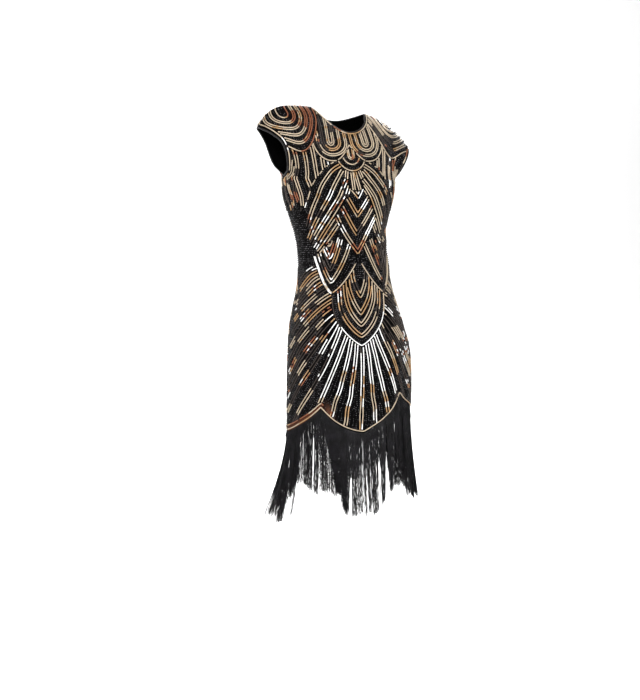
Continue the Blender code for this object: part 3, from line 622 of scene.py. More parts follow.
def mottled(tree, scale, detail, span, low=PLAIN, high=PLAIN):
    """The mottle group in a material, on Object coordinates. Returns its outputs."""
    place = add_node(tree, "ShaderNodeTexCoord")
    values = {"node_tree": MOTTLE, "Scale": scale, "Detail": detail, "From": span[0], "To": span[1]}
    values.update(Low=(*low, 1.0), High=(*high, 1.0))
    return add_node(tree, "ShaderNodeGroup", values, Place=place.outputs["Object"]).outputs


def bead_material(name):
    """Metal-lined glass: a bright body colour that varies a little from bead to bead, under clear glass."""
    colour, roughness = BEAD_FINISHES[name]
    made, tree, shader = new_material("bead_" + name, colour, roughness, 0.15, Specular_IOR_Level=0.25)
    dark = tuple(0.78 * c for c in colour)
    bright = tuple(min(1.0, 1.08 * c) for c in colour)
    finish = mottled(tree, 90.0, 1.0, (0.30, 0.66), dark, bright)
    tree.links.new(finish["Colour"], shader.inputs["Base Color"])
    return made


def seed_material():
    """Black glass seed beads; some are coloured grey in soft patches as painted glints."""
    made, tree, shader = new_material("bead_black", SEED_BLACK, 0.20, 0.0, Specular_IOR_Level=0.14)
    finish = mottled(tree, 330.0, 0.0, (0.44, 0.66), SEED_BLACK, SEED_PAINTED_GLINT)
    tree.links.new(finish["Colour"], shader.inputs["Base Color"])
    return made


def ground_material():
    """Black net, woven in small diamonds, with a bloom of fine black beads and a copper cast where the net
    is left bare."""
    made, tree, shader = new_material("black_mesh", GROUND_BLACK, 0.60, 0.0, Specular_IOR_Level=0.02)
    chart = add_node(tree, "ShaderNodeUVMap", {"uv_map": "cloth_map"})
    cells = add_node(
        tree, "ShaderNodeTexVoronoi", {"Scale": 480.0, "Randomness": 0.55}, Vector=chart.outputs["UV"]
    )
    round_bead = add_node(
        tree, "ShaderNodeMapRange", {"From Min": 0.10, "From Max": 0.55, "To Min": 1.0, "To Max": 0.0},
        Value=cells.outputs["Distance"],
    ).outputs["Result"]
    bump = add_node(tree, "ShaderNodeBump", {"Strength": 0.9, "Distance": 0.0010}, Height=round_bead)
    tree.links.new(bump.outputs["Normal"], shader.inputs["Normal"])
    gloss = add_node(tree, "ShaderNodeMapRange", {"To Min": 0.55, "To Max": 0.16}, Value=round_bead)
    tree.links.new(gloss.outputs["Result"], shader.inputs["Roughness"])
    bare = add_node(tree, "ShaderNodeAttribute", {"attribute_name": "bare"})
    mix = add_node(tree, "ShaderNodeMix", {"data_type": "RGBA"})
    mix.inputs[6].default_value = (*GROUND_BLACK, 1.0)
    mix.inputs[7].default_value = (*TINT_COPPER, 1.0)
    tree.links.new(bare.outputs["Fac"], mix.inputs[0])
    tree.links.new(mix.outputs[2], shader.inputs["Base Color"])
    return made


def binding_material():
    """Matt black bias tape with a fine twill."""
    made, tree, shader = new_material("bias_tape", (0.004, 0.0035, 0.004), 0.55, 0.0, Specular_IOR_Level=0.3)
    place = add_node(tree, "ShaderNodeTexCoord")
    twill = add_node(
        tree, "ShaderNodeTexWave", {"bands_direction": "DIAGONAL", "Scale": 420.0, "Distortion": 0.4},
        Vector=place.outputs["Object"],
    )
    relief = {"Strength": 0.35, "Distance": 0.0004}
    bump = add_node(tree, "ShaderNodeBump", relief, Height=twill.outputs["Fac"])
    tree.links.new(bump.outputs["Normal"], shader.inputs["Normal"])
    return made


def fringe_material():
    """Soft rayon thread: near black, with a dull silk sheen painted into its colour as lighter patches."""
    made, tree, shader = new_material("rayon_thread", THREAD_PAINTED_SHEEN, 0.38, 0.0, Specular_IOR_Level=0.22)
    finish = mottled(tree, 60.0, 2.0, (0.35, 0.70), THREAD_BLACK, THREAD_PAINTED_SHEEN)
    tree.links.new(finish["Colour"], shader.inputs["Base Color"])
    return made


def metal_material():
    """Black enamelled metal whose roughness varies in soft patches."""
    made, tree, shader = new_material("enamelled_metal", (0.020, 0.020, 0.022), 0.28, 0.7, Coat_Weight=0.4)
    wear = mottled(tree, 900.0, 3.0, (0.3, 0.7))["Mask"]
    rough = add_node(tree, "ShaderNodeMapRange", {"To Min": 0.20, "To Max": 0.42}, Value=wear)
    tree.links.new(rough.outputs["Result"], shader.inputs["Roughness"])
    return made


GROUND = ground_material()
BINDING = binding_material()
FRINGE = fringe_material()
METAL = metal_material()
SEED = seed_material()
BEADS = {name: bead_material(name) for name in BEAD_FINISHES}

# ---- the cloth panels ----
PANEL_COLUMNS = 128  # from one side seam to the other
PANEL_LOW_ROWS = 130
PANEL_HIGH_ROWS = 70
BARE_BAND_U = -0.46  # the bare band above the hem begins here
BARE_SPOT_U = -0.400  # and the bare spot beside the hem's left point lies here
BARE_SPOT_UP = 0.012


def bare_net(side, u, v):
    """Where the net shows bare, with its copper cast: between the two hem lines on the left, and beside the
    left point of the hem."""
    if side > 0:
        return 0.0 * u
    above_hem = (v + 1.0) * (underarm_z(u) - hem_z(u))
    between = (1.0 - ease((above_hem - 0.010) / 0.006)) * ease((BARE_BAND_U - u) / 0.05)
    beside = np.exp(-(((u - BARE_SPOT_U) / 0.045) ** 2) - ((above_hem - BARE_SPOT_UP) / 0.016) ** 2)
    return np.maximum(between, beside)


def make_panel(name, side, first, last):
    """A panel as a thin closed shell: the outer grid, the same moved in by the cloth's thickness, and a
    rim round the border."""
    columns = max(2, int(round(PANEL_COLUMNS * (last - first) / 2.0))) + 1
    row = np.concatenate(
        [np.linspace(-1.0, 0.0, PANEL_LOW_ROWS + 1)[:-1], np.linspace(0.0, 1.0, PANEL_HIGH_ROWS + 1)]
    )
    u, row = np.meshgrid(np.linspace(first, last, columns), row)
    v = np.where(row > 0.0, row * neck_share(side, u), row)
    outer, normals = on_cloth(side, u, v)
    inner = outer - CLOTH_THICKNESS * normals
    rows = len(u)
    half = rows * columns
    border = np.concatenate(
        [
            np.arange(columns - 1),
            columns - 1 + columns * np.arange(rows - 1),
            half - 1 - np.arange(columns - 1),
            columns * np.arange(rows - 1, 0, -1),
        ]
    )
    ahead = np.roll(border, -1)
    face = grid_quads(rows, columns)
    if side > 0:
        face = face[:, ::-1]
    rim = np.stack([border, border + half, ahead + half, ahead], axis=1)
    if side > 0:
        rim = rim[:, ::-1]
    made = mesh_object(name, np.stack([outer, inner]), [face, face[:, ::-1] + half, rim], GROUND)
    s, t = to_s_t(side, u, v)
    set_map(made, np.tile(np.stack([s, t], axis=-1).reshape(-1, 2), (2, 1)))
    bare = made.data.attributes.new("bare", "FLOAT", "POINT")
    bare.data.foreach_set("value", np.tile(bare_net(side, u, v).ravel(), 2).astype(np.float32))
    return made


front_cloth = make_panel("front_cloth", -1.0, -1.0, 1.0)
back_left_cloth = make_panel("back_left_cloth", 1.0, -1.0, 0.0)
back_right_cloth = make_panel("back_right_cloth", 1.0, 0.0, 1.0)
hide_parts("front_panel")
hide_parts("back_left")
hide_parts("back_right")

# ---- bead lines ----
CENTRE_LEVELS = (-0.822, -0.600, -0.480, -0.370, -0.222, -0.160, -0.060)
CENTRE_SHIFTS = (-0.008, -0.005, 0.003, 0.004, 0.004, -0.006, -0.011)
BUGLE_LENGTH = 0.0068
BUGLE_RADIUS = 0.00142
BUGLE_GAP = 0.0004
FINE_STEP = 0.0008
SEED_RADIUS = 0.00155
SEED_PITCH = 0.0053
SIDE_CLEAR = 0.988  # no bead beyond this share of the way to a side seam or cap edge
EDGE_CLEAR = 0.0030  # nor nearer than this to the neck edge or the hem
HEM_BAND = 0.0120  # the band of bare net above the hem on the left
# Where the bead lines along the edges lie: how far from the neck and the hem, and in which column
NECK_LINE_DOWN = 0.0042
CAP_LINE_U = 0.978
HEM_LINE_UP = 0.0040
HEM_BAND_UP = 0.0150
HEM_BAND_U = -0.47
CHEST_HEIGHT = 0.22  # cloth from the underarm to the shoulder line, and to the hem
SKIRT_HEIGHT = 0.65
COLOURS = tuple(BEAD_FINISHES)

# Half ellipses that hang from the shoulder seam, from the neck and from the middle of the neck: the place
# of the first one's middle, its half width and depth, and how much both grow from one to the next.
# name: centre_x, centre_t, half_width, width_step, depth, depth_step
ARC_SETS = {
    "shoulder": (0.1300, 0.020, 0.0180, 0.0110, 0.040, 0.0225),
    "neck": (0.0435, -0.085, 0.0060, 0.0168, 0.011, 0.0155),
    "middle": (0.0000, -0.125, 0.0060, 0.0145, 0.008, 0.0140),
}
ARC_LIFT = 0.10
SHOULDER_OUTER = 4.0
NECK_OUTER = 2.75
MIDDLE_OUTER = 2.0
# The peak over the middle arcs, between the two necks' arcs: its foot, its rise and how it curves.
PEAK_HALF = 0.036
PEAK_FOOT = -0.137
PEAK_RISE = 0.044
PEAK_POWER = 1.6
# On the right shoulder the arcs drop towards the cap.
RIGHT_DROP = 0.35
RIGHT_DROP_FROM = 0.085

# Arches from the centre out and down to the side of the waist, each through three places.
WINGS = (
    # start_x, start_t, middle_x, middle_t, end_x, end_t
    (0.036, -0.139, 0.100, -0.181, 0.139, -0.250),
    (0.030, -0.149, 0.093, -0.203, 0.131, -0.298),
    (0.026, -0.160, 0.078, -0.227, 0.127, -0.328),
    (0.022, -0.180, 0.064, -0.244, 0.120, -0.340),
    (0.018, -0.196, 0.055, -0.262, 0.110, -0.352),
    (0.033, -0.252, 0.058, -0.302, 0.102, -0.362),
)
# Short lines under the arcs in the middle of the neck.
SPRAYS = (
    # top_x, top_t, low_x, low_t
    (0.004, -0.164, 0.008, -0.206),
    (0.015, -0.160, 0.028, -0.196),
)
# Uprights between the shoulder arcs and the wings.
UPRIGHTS = (
    # top_x, top_t, low_x, low_t
    (0.058, -0.112, 0.052, -0.160),
    (0.077, -0.090, 0.070, -0.170),
    (0.104, -0.085, 0.090, -0.200),
    (0.130, -0.085, 0.114, -0.215),
    (0.157, -0.085, 0.146, -0.245),
)
# Wavy lines under the arm: the first one's share of the way to the seam, and the step to the next.
UNDERARM_SHARE = 0.76
UNDERARM_STEP = 0.065
UNDERARM_WAVE = 0.010
# Nested Vs down the centre.
CHEVRON_POINT = -0.222
CHEVRON_STEP = -0.0465
CHEVRON_SLOPE = 1.35
CHEVRON_CURVE = 4.5
CHEVRON_OUTER = 3.3
SHIELD_TOP = -0.168
SHIELD_HALF = 0.014  # the shield's half width at its top, how much it widens, and where
SHIELD_WIDENS = 0.052
SHIELD_WIDENS_FROM = -0.185
SHIELD_WIDENS_OVER = 0.11
# Nested Vs in the leaf beside the waist, the outline first: the rise from the point is slope x + curve x^2.
LEAF_X = 0.0745
LEAVES = (
    # point_t, inner_slope, inner_curve, outer_slope, outer_curve
    (-0.466, 0.60, 8.0, 0.45, 55.0),
    (-0.438, 1.05, 14.0, 1.40, 55.0),
    (-0.408, 1.80, 22.0, 1.70, 45.0),
    (-0.377, 2.00, 24.0, 1.90, 45.0),
    (-0.346, 2.20, 24.0, 2.10, 45.0),
)
LEAF_TOP_X = (0.0, 0.030, 0.050, 0.080, 0.108)
LEAF_TOP_T = (-0.340, -0.335, -0.326, -0.342, -0.372)
# Nested ogives under the waist.
OGIVES = (
    # point_t, half_width, rise, power: the outline first
    (-0.598, 0.073, 0.110, 0.85),
    (-0.5735, 0.055, 0.095, 0.85),
    (-0.546, 0.040, 0.085, 0.90),
    (-0.517, 0.031, 0.080, 1.05),
    (-0.474, 0.019, 0.060, 1.10),
)
# Rays from the leaf and the ogive to the side seam and the hem, from the waist round to the centre.
RAYS = (
    # start_x, start_t, middle_x, middle_t, end_x, end_t
    (0.104, -0.398, 0.136, -0.413, 0.180, -0.448),
    (0.100, -0.424, 0.138, -0.450, 0.186, -0.497),
    (0.087, -0.454, 0.131, -0.484, 0.196, -0.544),
    (0.078, -0.486, 0.133, -0.530, 0.206, -0.608),
    (0.073, -0.516, 0.130, -0.571, 0.214, -0.680),
    (0.067, -0.535, 0.128, -0.616, 0.218, -0.738),
    (0.058, -0.553, 0.112, -0.665, 0.202, -0.806),
    (0.040, -0.577, 0.086, -0.691, 0.137, -0.812),
    (0.0275, -0.586, 0.0530, -0.691, 0.093, -0.835),
    (0.0135, -0.592, 0.0265, -0.691, 0.047, -0.840),
    (0.000, -0.614, 0.0000, -0.700, 0.000, -0.840),
)
RAY_WAVE = 0.0012
# Levels where families begin and end
SPRAY_LOW = -0.215
UNDERARM_LOW = -0.262
UNDERARM_RAGGED = 0.026
WING_LOW = -0.365
LEAF_EDGE_TOP = -0.372
RAY_TOP = -0.385
OGIVE_EDGE_TOP = -0.462


def arc(name, k):
    """A half ellipse of a set, with its arms carried straight up."""
    centre_x, centre_t, half, half_step, depth, depth_step = ARC_SETS[name]
    angle = np.linspace(0.0, math.pi, 61)
    x = centre_x - (half + half_step * k) * np.cos(angle)
    t = centre_t - (depth + depth_step * k) * np.sin(angle)
    rise = np.linspace(0.0, ARC_LIFT, 25)
    x = np.concatenate([np.full(24, x[0]), x, np.full(24, x[-1])])
    t = np.concatenate([centre_t + rise[:0:-1], t, centre_t + rise[1:]])
    return np.stack([x, t], axis=1)


def under_arc(name, k, x, t):
    """True below an arc of a set, or beside it."""
    line = arc(name, k)[24:-24]
    return t < np.interp(x, line[:, 0], line[:, 1], left=9.0, right=9.0)


def row_between(table, k):
    """A row of a table read between its rows."""
    return through(np.arange(len(table)), np.array(table), np.array(float(k)))


def three_places(table, k):
    """A quadratic curve through the three places of a row."""
    start, middle, end = row_between(table, k).reshape(3, 2)
    a = np.linspace(0.0, 1.0, 81)[:, None]
    control = 2.0 * middle - (start + end) / 2.0
    return (1.0 - a) ** 2 * start + 2.0 * a * (1.0 - a) * control + a * a * end


wing = partial(three_places, WINGS)
TOP_WING = wing(0.0)


def under_wing(x, t):
    """True below the top arch."""
    return t < np.interp(x, TOP_WING[:, 0], TOP_WING[:, 1], left=TOP_WING[0, 1])


def straight(table, k):
    """A straight line between the rows of a table."""
    top_x, top_t, low_x, low_t = row_between(table, k)
    a = np.linspace(0.0, 1.0, 31)
    return np.stack([top_x + (low_x - top_x) * a, top_t + (low_t - top_t) * a], axis=1)


shoulder_arc = partial(arc, "shoulder")
neck_arc = partial(arc, "neck")
middle_arc = partial(arc, "middle")
upright = partial(straight, UPRIGHTS)
spray = partial(straight, SPRAYS)


def underarm(k):
    """A wavy line down the side of the chest, at a steady share of the way to the seam."""
    t = np.linspace(-0.10, -0.36, 61)
    waves = UNDERARM_WAVE * np.sin(t * 110.0 + 2.1 * round(k)) * ease((-0.12 - t) / 0.03)
    share = UNDERARM_SHARE + UNDERARM_STEP * k + waves
    return np.stack([share * np.interp(t, LEVELS, LEVEL_WIDTHS[-1.0]), t], axis=1)


def chevron_rise(x):
    """How far a V has risen at x: slope x + curve x^2."""
    return CHEVRON_SLOPE * x + CHEVRON_CURVE * x * np.abs(x)


def chevron(k):
    """A V of the shield in the middle of the chest."""
    x = np.linspace(-0.002, 0.074, 41)
    return np.stack([x, CHEVRON_POINT + CHEVRON_STEP * k + chevron_rise(x)], axis=1)


def shield_low(x):
    """The lower edge of the shield of nested Vs."""
    return CHEVRON_POINT + CHEVRON_STEP * CHEVRON_OUTER + chevron_rise(x)


def in_shield(x, t):
    """Inside the shield of nested Vs."""
    half = SHIELD_HALF + SHIELD_WIDENS * ease((SHIELD_WIDENS_FROM - t) / SHIELD_WIDENS_OVER)
    return (x < half) & (t < SHIELD_TOP) & (t > shield_low(x))


def leaf(k):
    """A V of the leaf."""
    point_t, inner_slope, inner_curve, outer_slope, outer_curve = row_between(LEAVES, k)
    off = np.linspace(-0.066, 0.040, 81)
    inner = inner_slope * -off + inner_curve * off * off
    outer = outer_slope * off + outer_curve * off * off
    return np.stack([LEAF_X + off, point_t + np.where(off < 0.0, inner, outer)], axis=1)


LEAF_EDGE = leaf(0.0)


def in_leaf(x, t):
    """Inside the leaf, up to where the arches end."""
    low = np.interp(x, LEAF_EDGE[:, 0], LEAF_EDGE[:, 1], left=9.0, right=9.0)
    return (t > low) & (t < np.interp(x, LEAF_TOP_X, LEAF_TOP_T)) & ~in_shield(x, t)


def ogive(k):
    """From its point the ogive widens steeply at first and then less, until it is upright."""
    point_t, half, rise, power = row_between(OGIVES, k)
    up = np.linspace(0.0, 1.0, 61) ** 1.5 * rise
    x = half * (1.0 - (1.0 - up / rise) ** 2) ** power
    x = np.concatenate([[-0.004], x, [x[-1] + 0.002]])
    up = np.concatenate([[-0.0004], up, [rise + 0.11]])
    return np.stack([x, point_t + up], axis=1)


OGIVE_EDGE = ogive(0.0)


def in_ogive(x, t):
    """Inside the lower ogive and under the leaves."""
    inside = x < np.interp(t, OGIVE_EDGE[:, 1], OGIVE_EDGE[:, 0], left=-1.0)
    leaf_low = np.interp(x, LEAF_EDGE[:, 0], LEAF_EDGE[:, 1], left=-0.36, right=-0.36)
    return inside & (t < leaf_low) & (t < shield_low(x))


def ray(k):
    """A ray that starts a little inside the leaf or the ogive, with slow waves near the hem."""
    line = three_places(RAYS, k)
    before = line[0] - 0.012 * unit(line[2] - line[0])
    line = np.concatenate([[before], line])
    low = ease((-0.66 - line[:, 1]) / 0.08) * ease((k - 6.5) / 1.5)
    wide = min(1.0, line[-1, 0] * 60.0 + 0.5)
    line[:, 0] += RAY_WAVE * low * np.sin(line[:, 1] * 95.0 + 1.9 * round(k)) * wide
    return line


def peak_t(x):
    """The peak over the middle arcs."""
    return PEAK_FOOT + PEAK_RISE * np.clip(1.0 - x / PEAK_HALF, 0.0, 1.0) ** PEAK_POWER


def peak(k):
    """The peak as a line."""
    x = np.linspace(-0.001, PEAK_HALF, 31)
    return np.stack([x, peak_t(x)], axis=1)


# Zones of the families on one half
def off_shoulder(x, t):
    """Below the shoulder's outermost arc."""
    return under_arc("shoulder", SHOULDER_OUTER, x, t)


def neck_zone(x, t):
    """Above the peak, and off the shoulder."""
    return off_shoulder(x, t) & ((t > peak_t(x) + 0.002) | (x > PEAK_HALF))


def neck_edge_zone(x, t):
    """Beside the peak, and off the shoulder."""
    return off_shoulder(x, t) & (x > PEAK_HALF)


def middle_zone(x, t):
    """Under the peak and the neck's arcs."""
    return (t < peak_t(x) - 0.001) & ((x < PEAK_HALF) | under_arc("neck", NECK_OUTER, x, t))


def off_neck(x, t):
    """Below the neck's and the middle's arcs."""
    clear = off_shoulder(x, t) & under_arc("neck", NECK_OUTER, x, t)
    return clear & under_arc("middle", MIDDLE_OUTER, x, t) & (t < PEAK_FOOT + 0.02 * (x > PEAK_HALF))


def above_wings(x, t):
    """Between the neck's and the shoulder's arcs and the top arch."""
    return off_shoulder(x, t) & under_arc("neck", NECK_OUTER, x, t) & (x > PEAK_HALF) & ~under_wing(x, t)


def spray_zone(x, t):
    """Under the middle's arcs, down to the shield."""
    return under_arc("middle", MIDDLE_OUTER, x, t) & (t > SPRAY_LOW)


def underarm_zone(x, t):
    """Below the armhole, beside the uprights and down to a wavy edge."""
    share = x / np.interp(t, LEVELS, LEVEL_WIDTHS[-1.0])
    low = UNDERARM_LOW - UNDERARM_RAGGED * np.sin(share * 70.0)
    return (share > 0.735) & (t > low) & ((t < -0.155) | (x > 0.165)) & (t < -0.118)


def wing_zone(x, t):
    """Between the neck's arcs and the leaf, outside the shield."""
    return off_neck(x, t) & ~in_shield(x, t) & ~in_leaf(x, t) & (t > WING_LOW)


def ray_zone(x, t):
    """Below the waist, outside the ogive and the leaf."""
    return ~in_ogive(x, t) & ~in_leaf(x, t) & (t < RAY_TOP)


def everywhere(x, t):
    """All of the dress."""
    return t < 9.0


# Colour shares of the families, for champagne, gold, copper, silver and smoke; the near-white silver paints
# glints, and smoke on the right-hand half paints shade
def shares(x, base, *changes):
    """The base shares everywhere, with each change added in its own measure from 0 to 1."""
    total = np.tile(np.array(base), (len(x), 1))
    for amount, change in changes:
        total = total + np.outer(amount, change)
    return total


def shoulder_colours(x, t, hand):
    """Champagne towards the cap and copper towards the neck, more so on the left; on the right many beads are
    dark, as painted shade.
    """
    copper = ease((0.145 - x) / 0.030) * (0.80 if hand < 0 else 0.25)
    # the dark share on the right is painted shade
    dark = 0.02 if hand < 0 else 0.36
    return shares(x, (0.94, 0.04, 0.01, 0.0, dark), (copper, (-0.88, 0.0, 0.88, 0.0, 0.0)))


def wing_colours(x, t, hand):
    """Champagne at the top, with more silver beads as painted glints and dark beads further down, on the left
    above all; on the right the outer part turns dark as painted shade.
    """
    low = ease((-0.18 - t) / 0.05)
    if hand < 0:
        return shares(x, (0.82, 0.08, 0.06, 0.04, 0.0), (low, (-0.50, 0.12, 0.0, 0.24, 0.14)))
    # on the right the outer part turns dark: painted shade
    far = ease((x - 0.080) / 0.02) * low
    base = (0.84, 0.08, 0.06, 0.02, 0.0)
    return shares(x, base, (low, (-0.34, 0.18, 0.0, 0.04, 0.12)), (far, (0.0, 0.0, 0.0, 0.0, 4.0)))


def ray_colours(x, t, hand):
    """Silver beside the ogive as painted glints, gold and champagne near the hem, and more dark beads at the
    hips; on the right these reach nearer the centre, as painted shade.
    """
    low = ease((-0.66 - t) / 0.08)
    # on the right the dark hips begin nearer the centre: painted shade
    inner, outer = (0.060, 0.135) if hand < 0 else (0.044, 0.095)
    side = ease((x - inner - 0.30 * np.maximum(-0.56 - t, 0.0)) / 0.025)[:, None]
    middle = shares(x, (0.12, 0.06, 0.02, 0.78, 0.02), (low, (0.22, 0.26, 0.0, -0.48, 0.02)))
    edge = ease((x - outer) / 0.03)
    hips = shares(x, (0.24, 0.11, 0.04, 0.15, 0.52), (edge, (0.0, 0.0, 0.0, -0.10, 0.40)))
    return middle * (1.0 - side) + hips * side


def ogive_outline_colours(x, t, hand):
    """Silver low down as painted glints, and higher up dark on the left and champagne on the right."""
    high = ease((t + (0.555 if hand < 0 else 0.525)) / 0.02)
    change = (0.0, 0.0, 0.0, -0.93, 0.90) if hand < 0 else (0.90, 0.0, 0.0, -0.93, 0.0)
    return shares(x, (0.05, 0.0, 0.0, 0.93, 0.0), (high, change))


def underarm_colours(x, t, hand):
    """Copper below the arm, and dark beads from there down to the waist."""
    low = ease((-0.150 - t) / 0.10)
    return shares(x, (0.22, 0.04, 0.40, 0.0, 0.28), (low, (-0.14, 0.0, -0.26, 0.0, 0.50)))


def leaf_colours(x, t, hand):
    """Silver beads as painted glints on the left, and on the right quiet beads that turn dark towards the
    side, as painted shade.
    """
    if hand < 0:
        return shares(x, (0.30, 0.24, 0.08, 0.28, 0.10))
    # the dark towards the right side is painted shade
    far = ease((x - 0.060) / 0.02)
    return shares(x, (0.50, 0.22, 0.08, 0.0, 0.20), (far, (-0.50, -0.20, -0.08, 0.0, 1.0)))


def leaf_edge_colours(x, t, hand):
    """Silver on the left as painted glints, and nearly all dark on the right as painted shade."""
    return shares(x, (0.0, 0.0, 0.0, 1.0, 0.0) if hand < 0 else (0.10, 0.04, 0.0, 0.0, 0.86))


def even_colours(*base):
    """The same shares all over."""
    return lambda x, t, hand: shares(x, base)


# the silver share in these mixes paints glints
CHAMPAGNE = even_colours(0.78, 0.14, 0.06, 0.0, 0.02)
VARIED = even_colours(0.62, 0.18, 0.10, 0.0, 0.10)
STRIPED = even_colours(0.52, 0.10, 0.20, 0.06, 0.12)
RUSTY = even_colours(0.10, 0.10, 0.70, 0.0, 0.10)
GLINTING = even_colours(0.30, 0.26, 0.08, 0.28, 0.08)
GOLDEN = even_colours(0.30, 0.38, 0.06, 0.14, 0.14)

# Each family: curve, half gap, pairs, single lines, colours, length of a run of colour, zone, and the
# first and last row of seeds
FAMILIES = (
    (shoulder_arc, 0.0026, (0.0, 1.0, 2.0, 3.0), (-0.9, SHOULDER_OUTER), shoulder_colours, 0.050,
     everywhere, (-1.4, 4.0)),
    (neck_arc, 0.0025, (0.0, 0.9, 1.8), (), VARIED, 0.040, neck_zone, (-0.3, 2.75)),
    (neck_arc, 0.0026, (), (NECK_OUTER,), CHAMPAGNE, 0.040, neck_edge_zone, ()),
    (peak, 0.0026, (), (0.0,), CHAMPAGNE, 0.040, everywhere, ()),
    (middle_arc, 0.0020, (0.0,), (1.0, MIDDLE_OUTER), CHAMPAGNE, 0.040, middle_zone, (-0.3, 2.0)),
    (upright, 0.0034, (0.0, 1.0, 2.0, 3.0, 4.0), (), STRIPED, 0.024, above_wings, (-0.4, 4.9)),
    (underarm, 0.0030, (0.3, 1.7, 3.1), (), underarm_colours, 0.030, underarm_zone, (-0.2, 3.6)),
    (wing, 0.0036, (1.0, 2.0, 3.0, 4.0, 5.0), (0.0,), wing_colours, 0.018, wing_zone, (0.0, 5.6)),
    (spray, 0.0030, (0.0, 1.0), (), CHAMPAGNE, 0.020, spray_zone, (-0.1, 1.4)),
    (chevron, 0.0037, (0.0, 1.0, 2.0, 3.0), (), GLINTING, 0.020, in_shield, (-1.0, 3.3)),
    (leaf, 0.0035, (1.0, 2.0, 3.0, 4.0), (), leaf_colours, 0.020, in_leaf, (0.0, 4.0)),
    (ogive, 0.0038, (1.0, 2.0, 3.0, 4.0), (), GOLDEN, 0.035, in_ogive, (0.0, 4.6)),
)
OUTLINES = (
    (leaf, 0.0015, (0.0,), (), leaf_edge_colours, 0.060, lambda x, t: (x > LEAF_X) & (t < LEAF_EDGE_TOP), ()),
    (leaf, 0.0022, (), (0.0,), CHAMPAGNE, 0.040, lambda x, t: (x <= LEAF_X) & ~in_shield(x, t), ()),
    (ogive, 0.0022, (), (0.0,), ogive_outline_colours, 0.060, lambda x, t: t < OGIVE_EDGE_TOP, ()),
)
RAY_PLACES = (*np.arange(0.0, 6.0, 0.5), 6.2, 7.0, 8.0, 9.0, 10.0)
RAY_FAMILY = (ray, 0.0036, RAY_PLACES, (), ray_colours, 0.034, ray_zone, (0.0, 10.3))


def centre_shift(t):
    """How far the middle of the design lies to the right of the centre line."""
    return np.interp(t, CENTRE_LEVELS, CENTRE_SHIFTS)


def right_drop(x, t):
    """How far the design drops towards the cap on the right."""
    return RIGHT_DROP * np.maximum(x - RIGHT_DROP_FROM, 0.0) * ease((t + 0.26) / 0.16)


class Occupied:
    """A fine chart of one side of the dress that keeps beads from lying on each other."""

    COLUMNS = 330
    LOW_ROWS = 520
    HIGH_ROWS = 180

    def __init__(self):
        """Nothing is taken at first. Four more cells lie round the chart on each side."""
        self.taken = np.zeros((self.LOW_ROWS + self.HIGH_ROWS + 8, self.COLUMNS + 8), bool)

    def cells(self, u, v):
        """Rows and columns of the cells at u, v."""
        row = self.LOW_ROWS + np.where(v < 0.0, v * self.LOW_ROWS, v * self.HIGH_ROWS) + 4
        column = (u + 1.0) / 2.0 * self.COLUMNS + 4
        return (
            np.clip(np.rint(row).astype(int), 3, self.taken.shape[0] - 4),
            np.clip(np.rint(column).astype(int), 3, self.taken.shape[1] - 4),
        )

    def free(self, u, v):
        """True where the cell isn't taken."""
        return ~self.taken[self.cells(u, v)]

    def take(self, u, v, reach=2):
        """Marks the cells around the places, but for the corners."""
        row, column = self.cells(u, v)
        for i in range(-reach, reach + 1):
            for j in range(-reach, reach + 1):
                if abs(i) + abs(j) < 2 * reach:
                    self.taken[row + i, column + j] = True


occupied = {side: Occupied() for side in (-1.0, 1.0)}
bugles = {(side, name): [] for side in (-1.0, 1.0) for name in COLOURS}
seeds = {side: [] for side in (-1.0, 1.0)}


def string_beads(side, u, v, pitch, shift=0.0):
    """Beads threaded on the line u, v, moved to its left by shift: the points, normals and places u, v of
    the ends of equal steps."""
    points, normals = on_cloth(side, u, v)
    if shift:
        tangent = unit(np.gradient(points, axis=0))
        across = unit(np.cross(normals, tangent))
        points = points + shift * across
        step = 0.004
        east = on_cloth(side, u + step, v)[0] - on_cloth(side, u - step, v)[0]
        north = on_cloth(side, u, v + step)[0] - on_cloth(side, u, v - step)[0]
        east_size = np.linalg.norm(east, axis=1) + 1e-9
        north_size = np.linalg.norm(north, axis=1) + 1e-9
        u = u + 2.0 * step * shift * np.einsum("ij,ij->i", across, east) / east_size**2
        v = v + 2.0 * step * shift * np.einsum("ij,ij->i", across, north) / north_size**2
    run = run_along(points)
    count = int(run[-1] / pitch)
    at = (np.arange(count + 1) + 0.5 * ((run[-1] / pitch) % 1.0)) * pitch
    stacked = np.column_stack([points, normals, u, v])
    read = np.stack([np.interp(at, run, column) for column in stacked.T], axis=1)
    return read[:, :3], unit(read[:, 3:6]), read[:, 6], read[:, 7]


def on_dress(side, u, v, edge):
    """True where beads can be sewn; edge is true for the lines along the edges themselves."""
    top = neck_share(side, np.clip(u, -1.0, 1.0)) - EDGE_CLEAR / CHEST_HEIGHT
    band = 0.0 if edge or side > 0 else HEM_BAND * ease((-0.45 - u) / 0.03)
    return (np.abs(u) < SIDE_CLEAR) & (v < top) & (v > -1.0 + (EDGE_CLEAR + band) / SKIRT_HEIGHT)


def half_places(side, hand, u, v):
    """Places x, t on one half of the design."""
    s, t = to_s_t(side, np.clip(u, -1.0, 1.0), np.clip(v, -1.0, 1.0))
    x = hand * (s - (centre_shift(t) if side < 0 else 0.0))
    if side < 0 and hand > 0:
        level = t
        for _ in range(4):
            t = level + right_drop(x, t)
    return x, t


def runs_of_colour(length):
    """A value for every place along a line, the same over each run and new from one run to the next."""
    ends = np.cumsum(rng.uniform(0.4, 1.6, 90)) * length
    values = rng.random(91)
    return lambda place: values[np.minimum(np.searchsorted(ends, place), 90)]


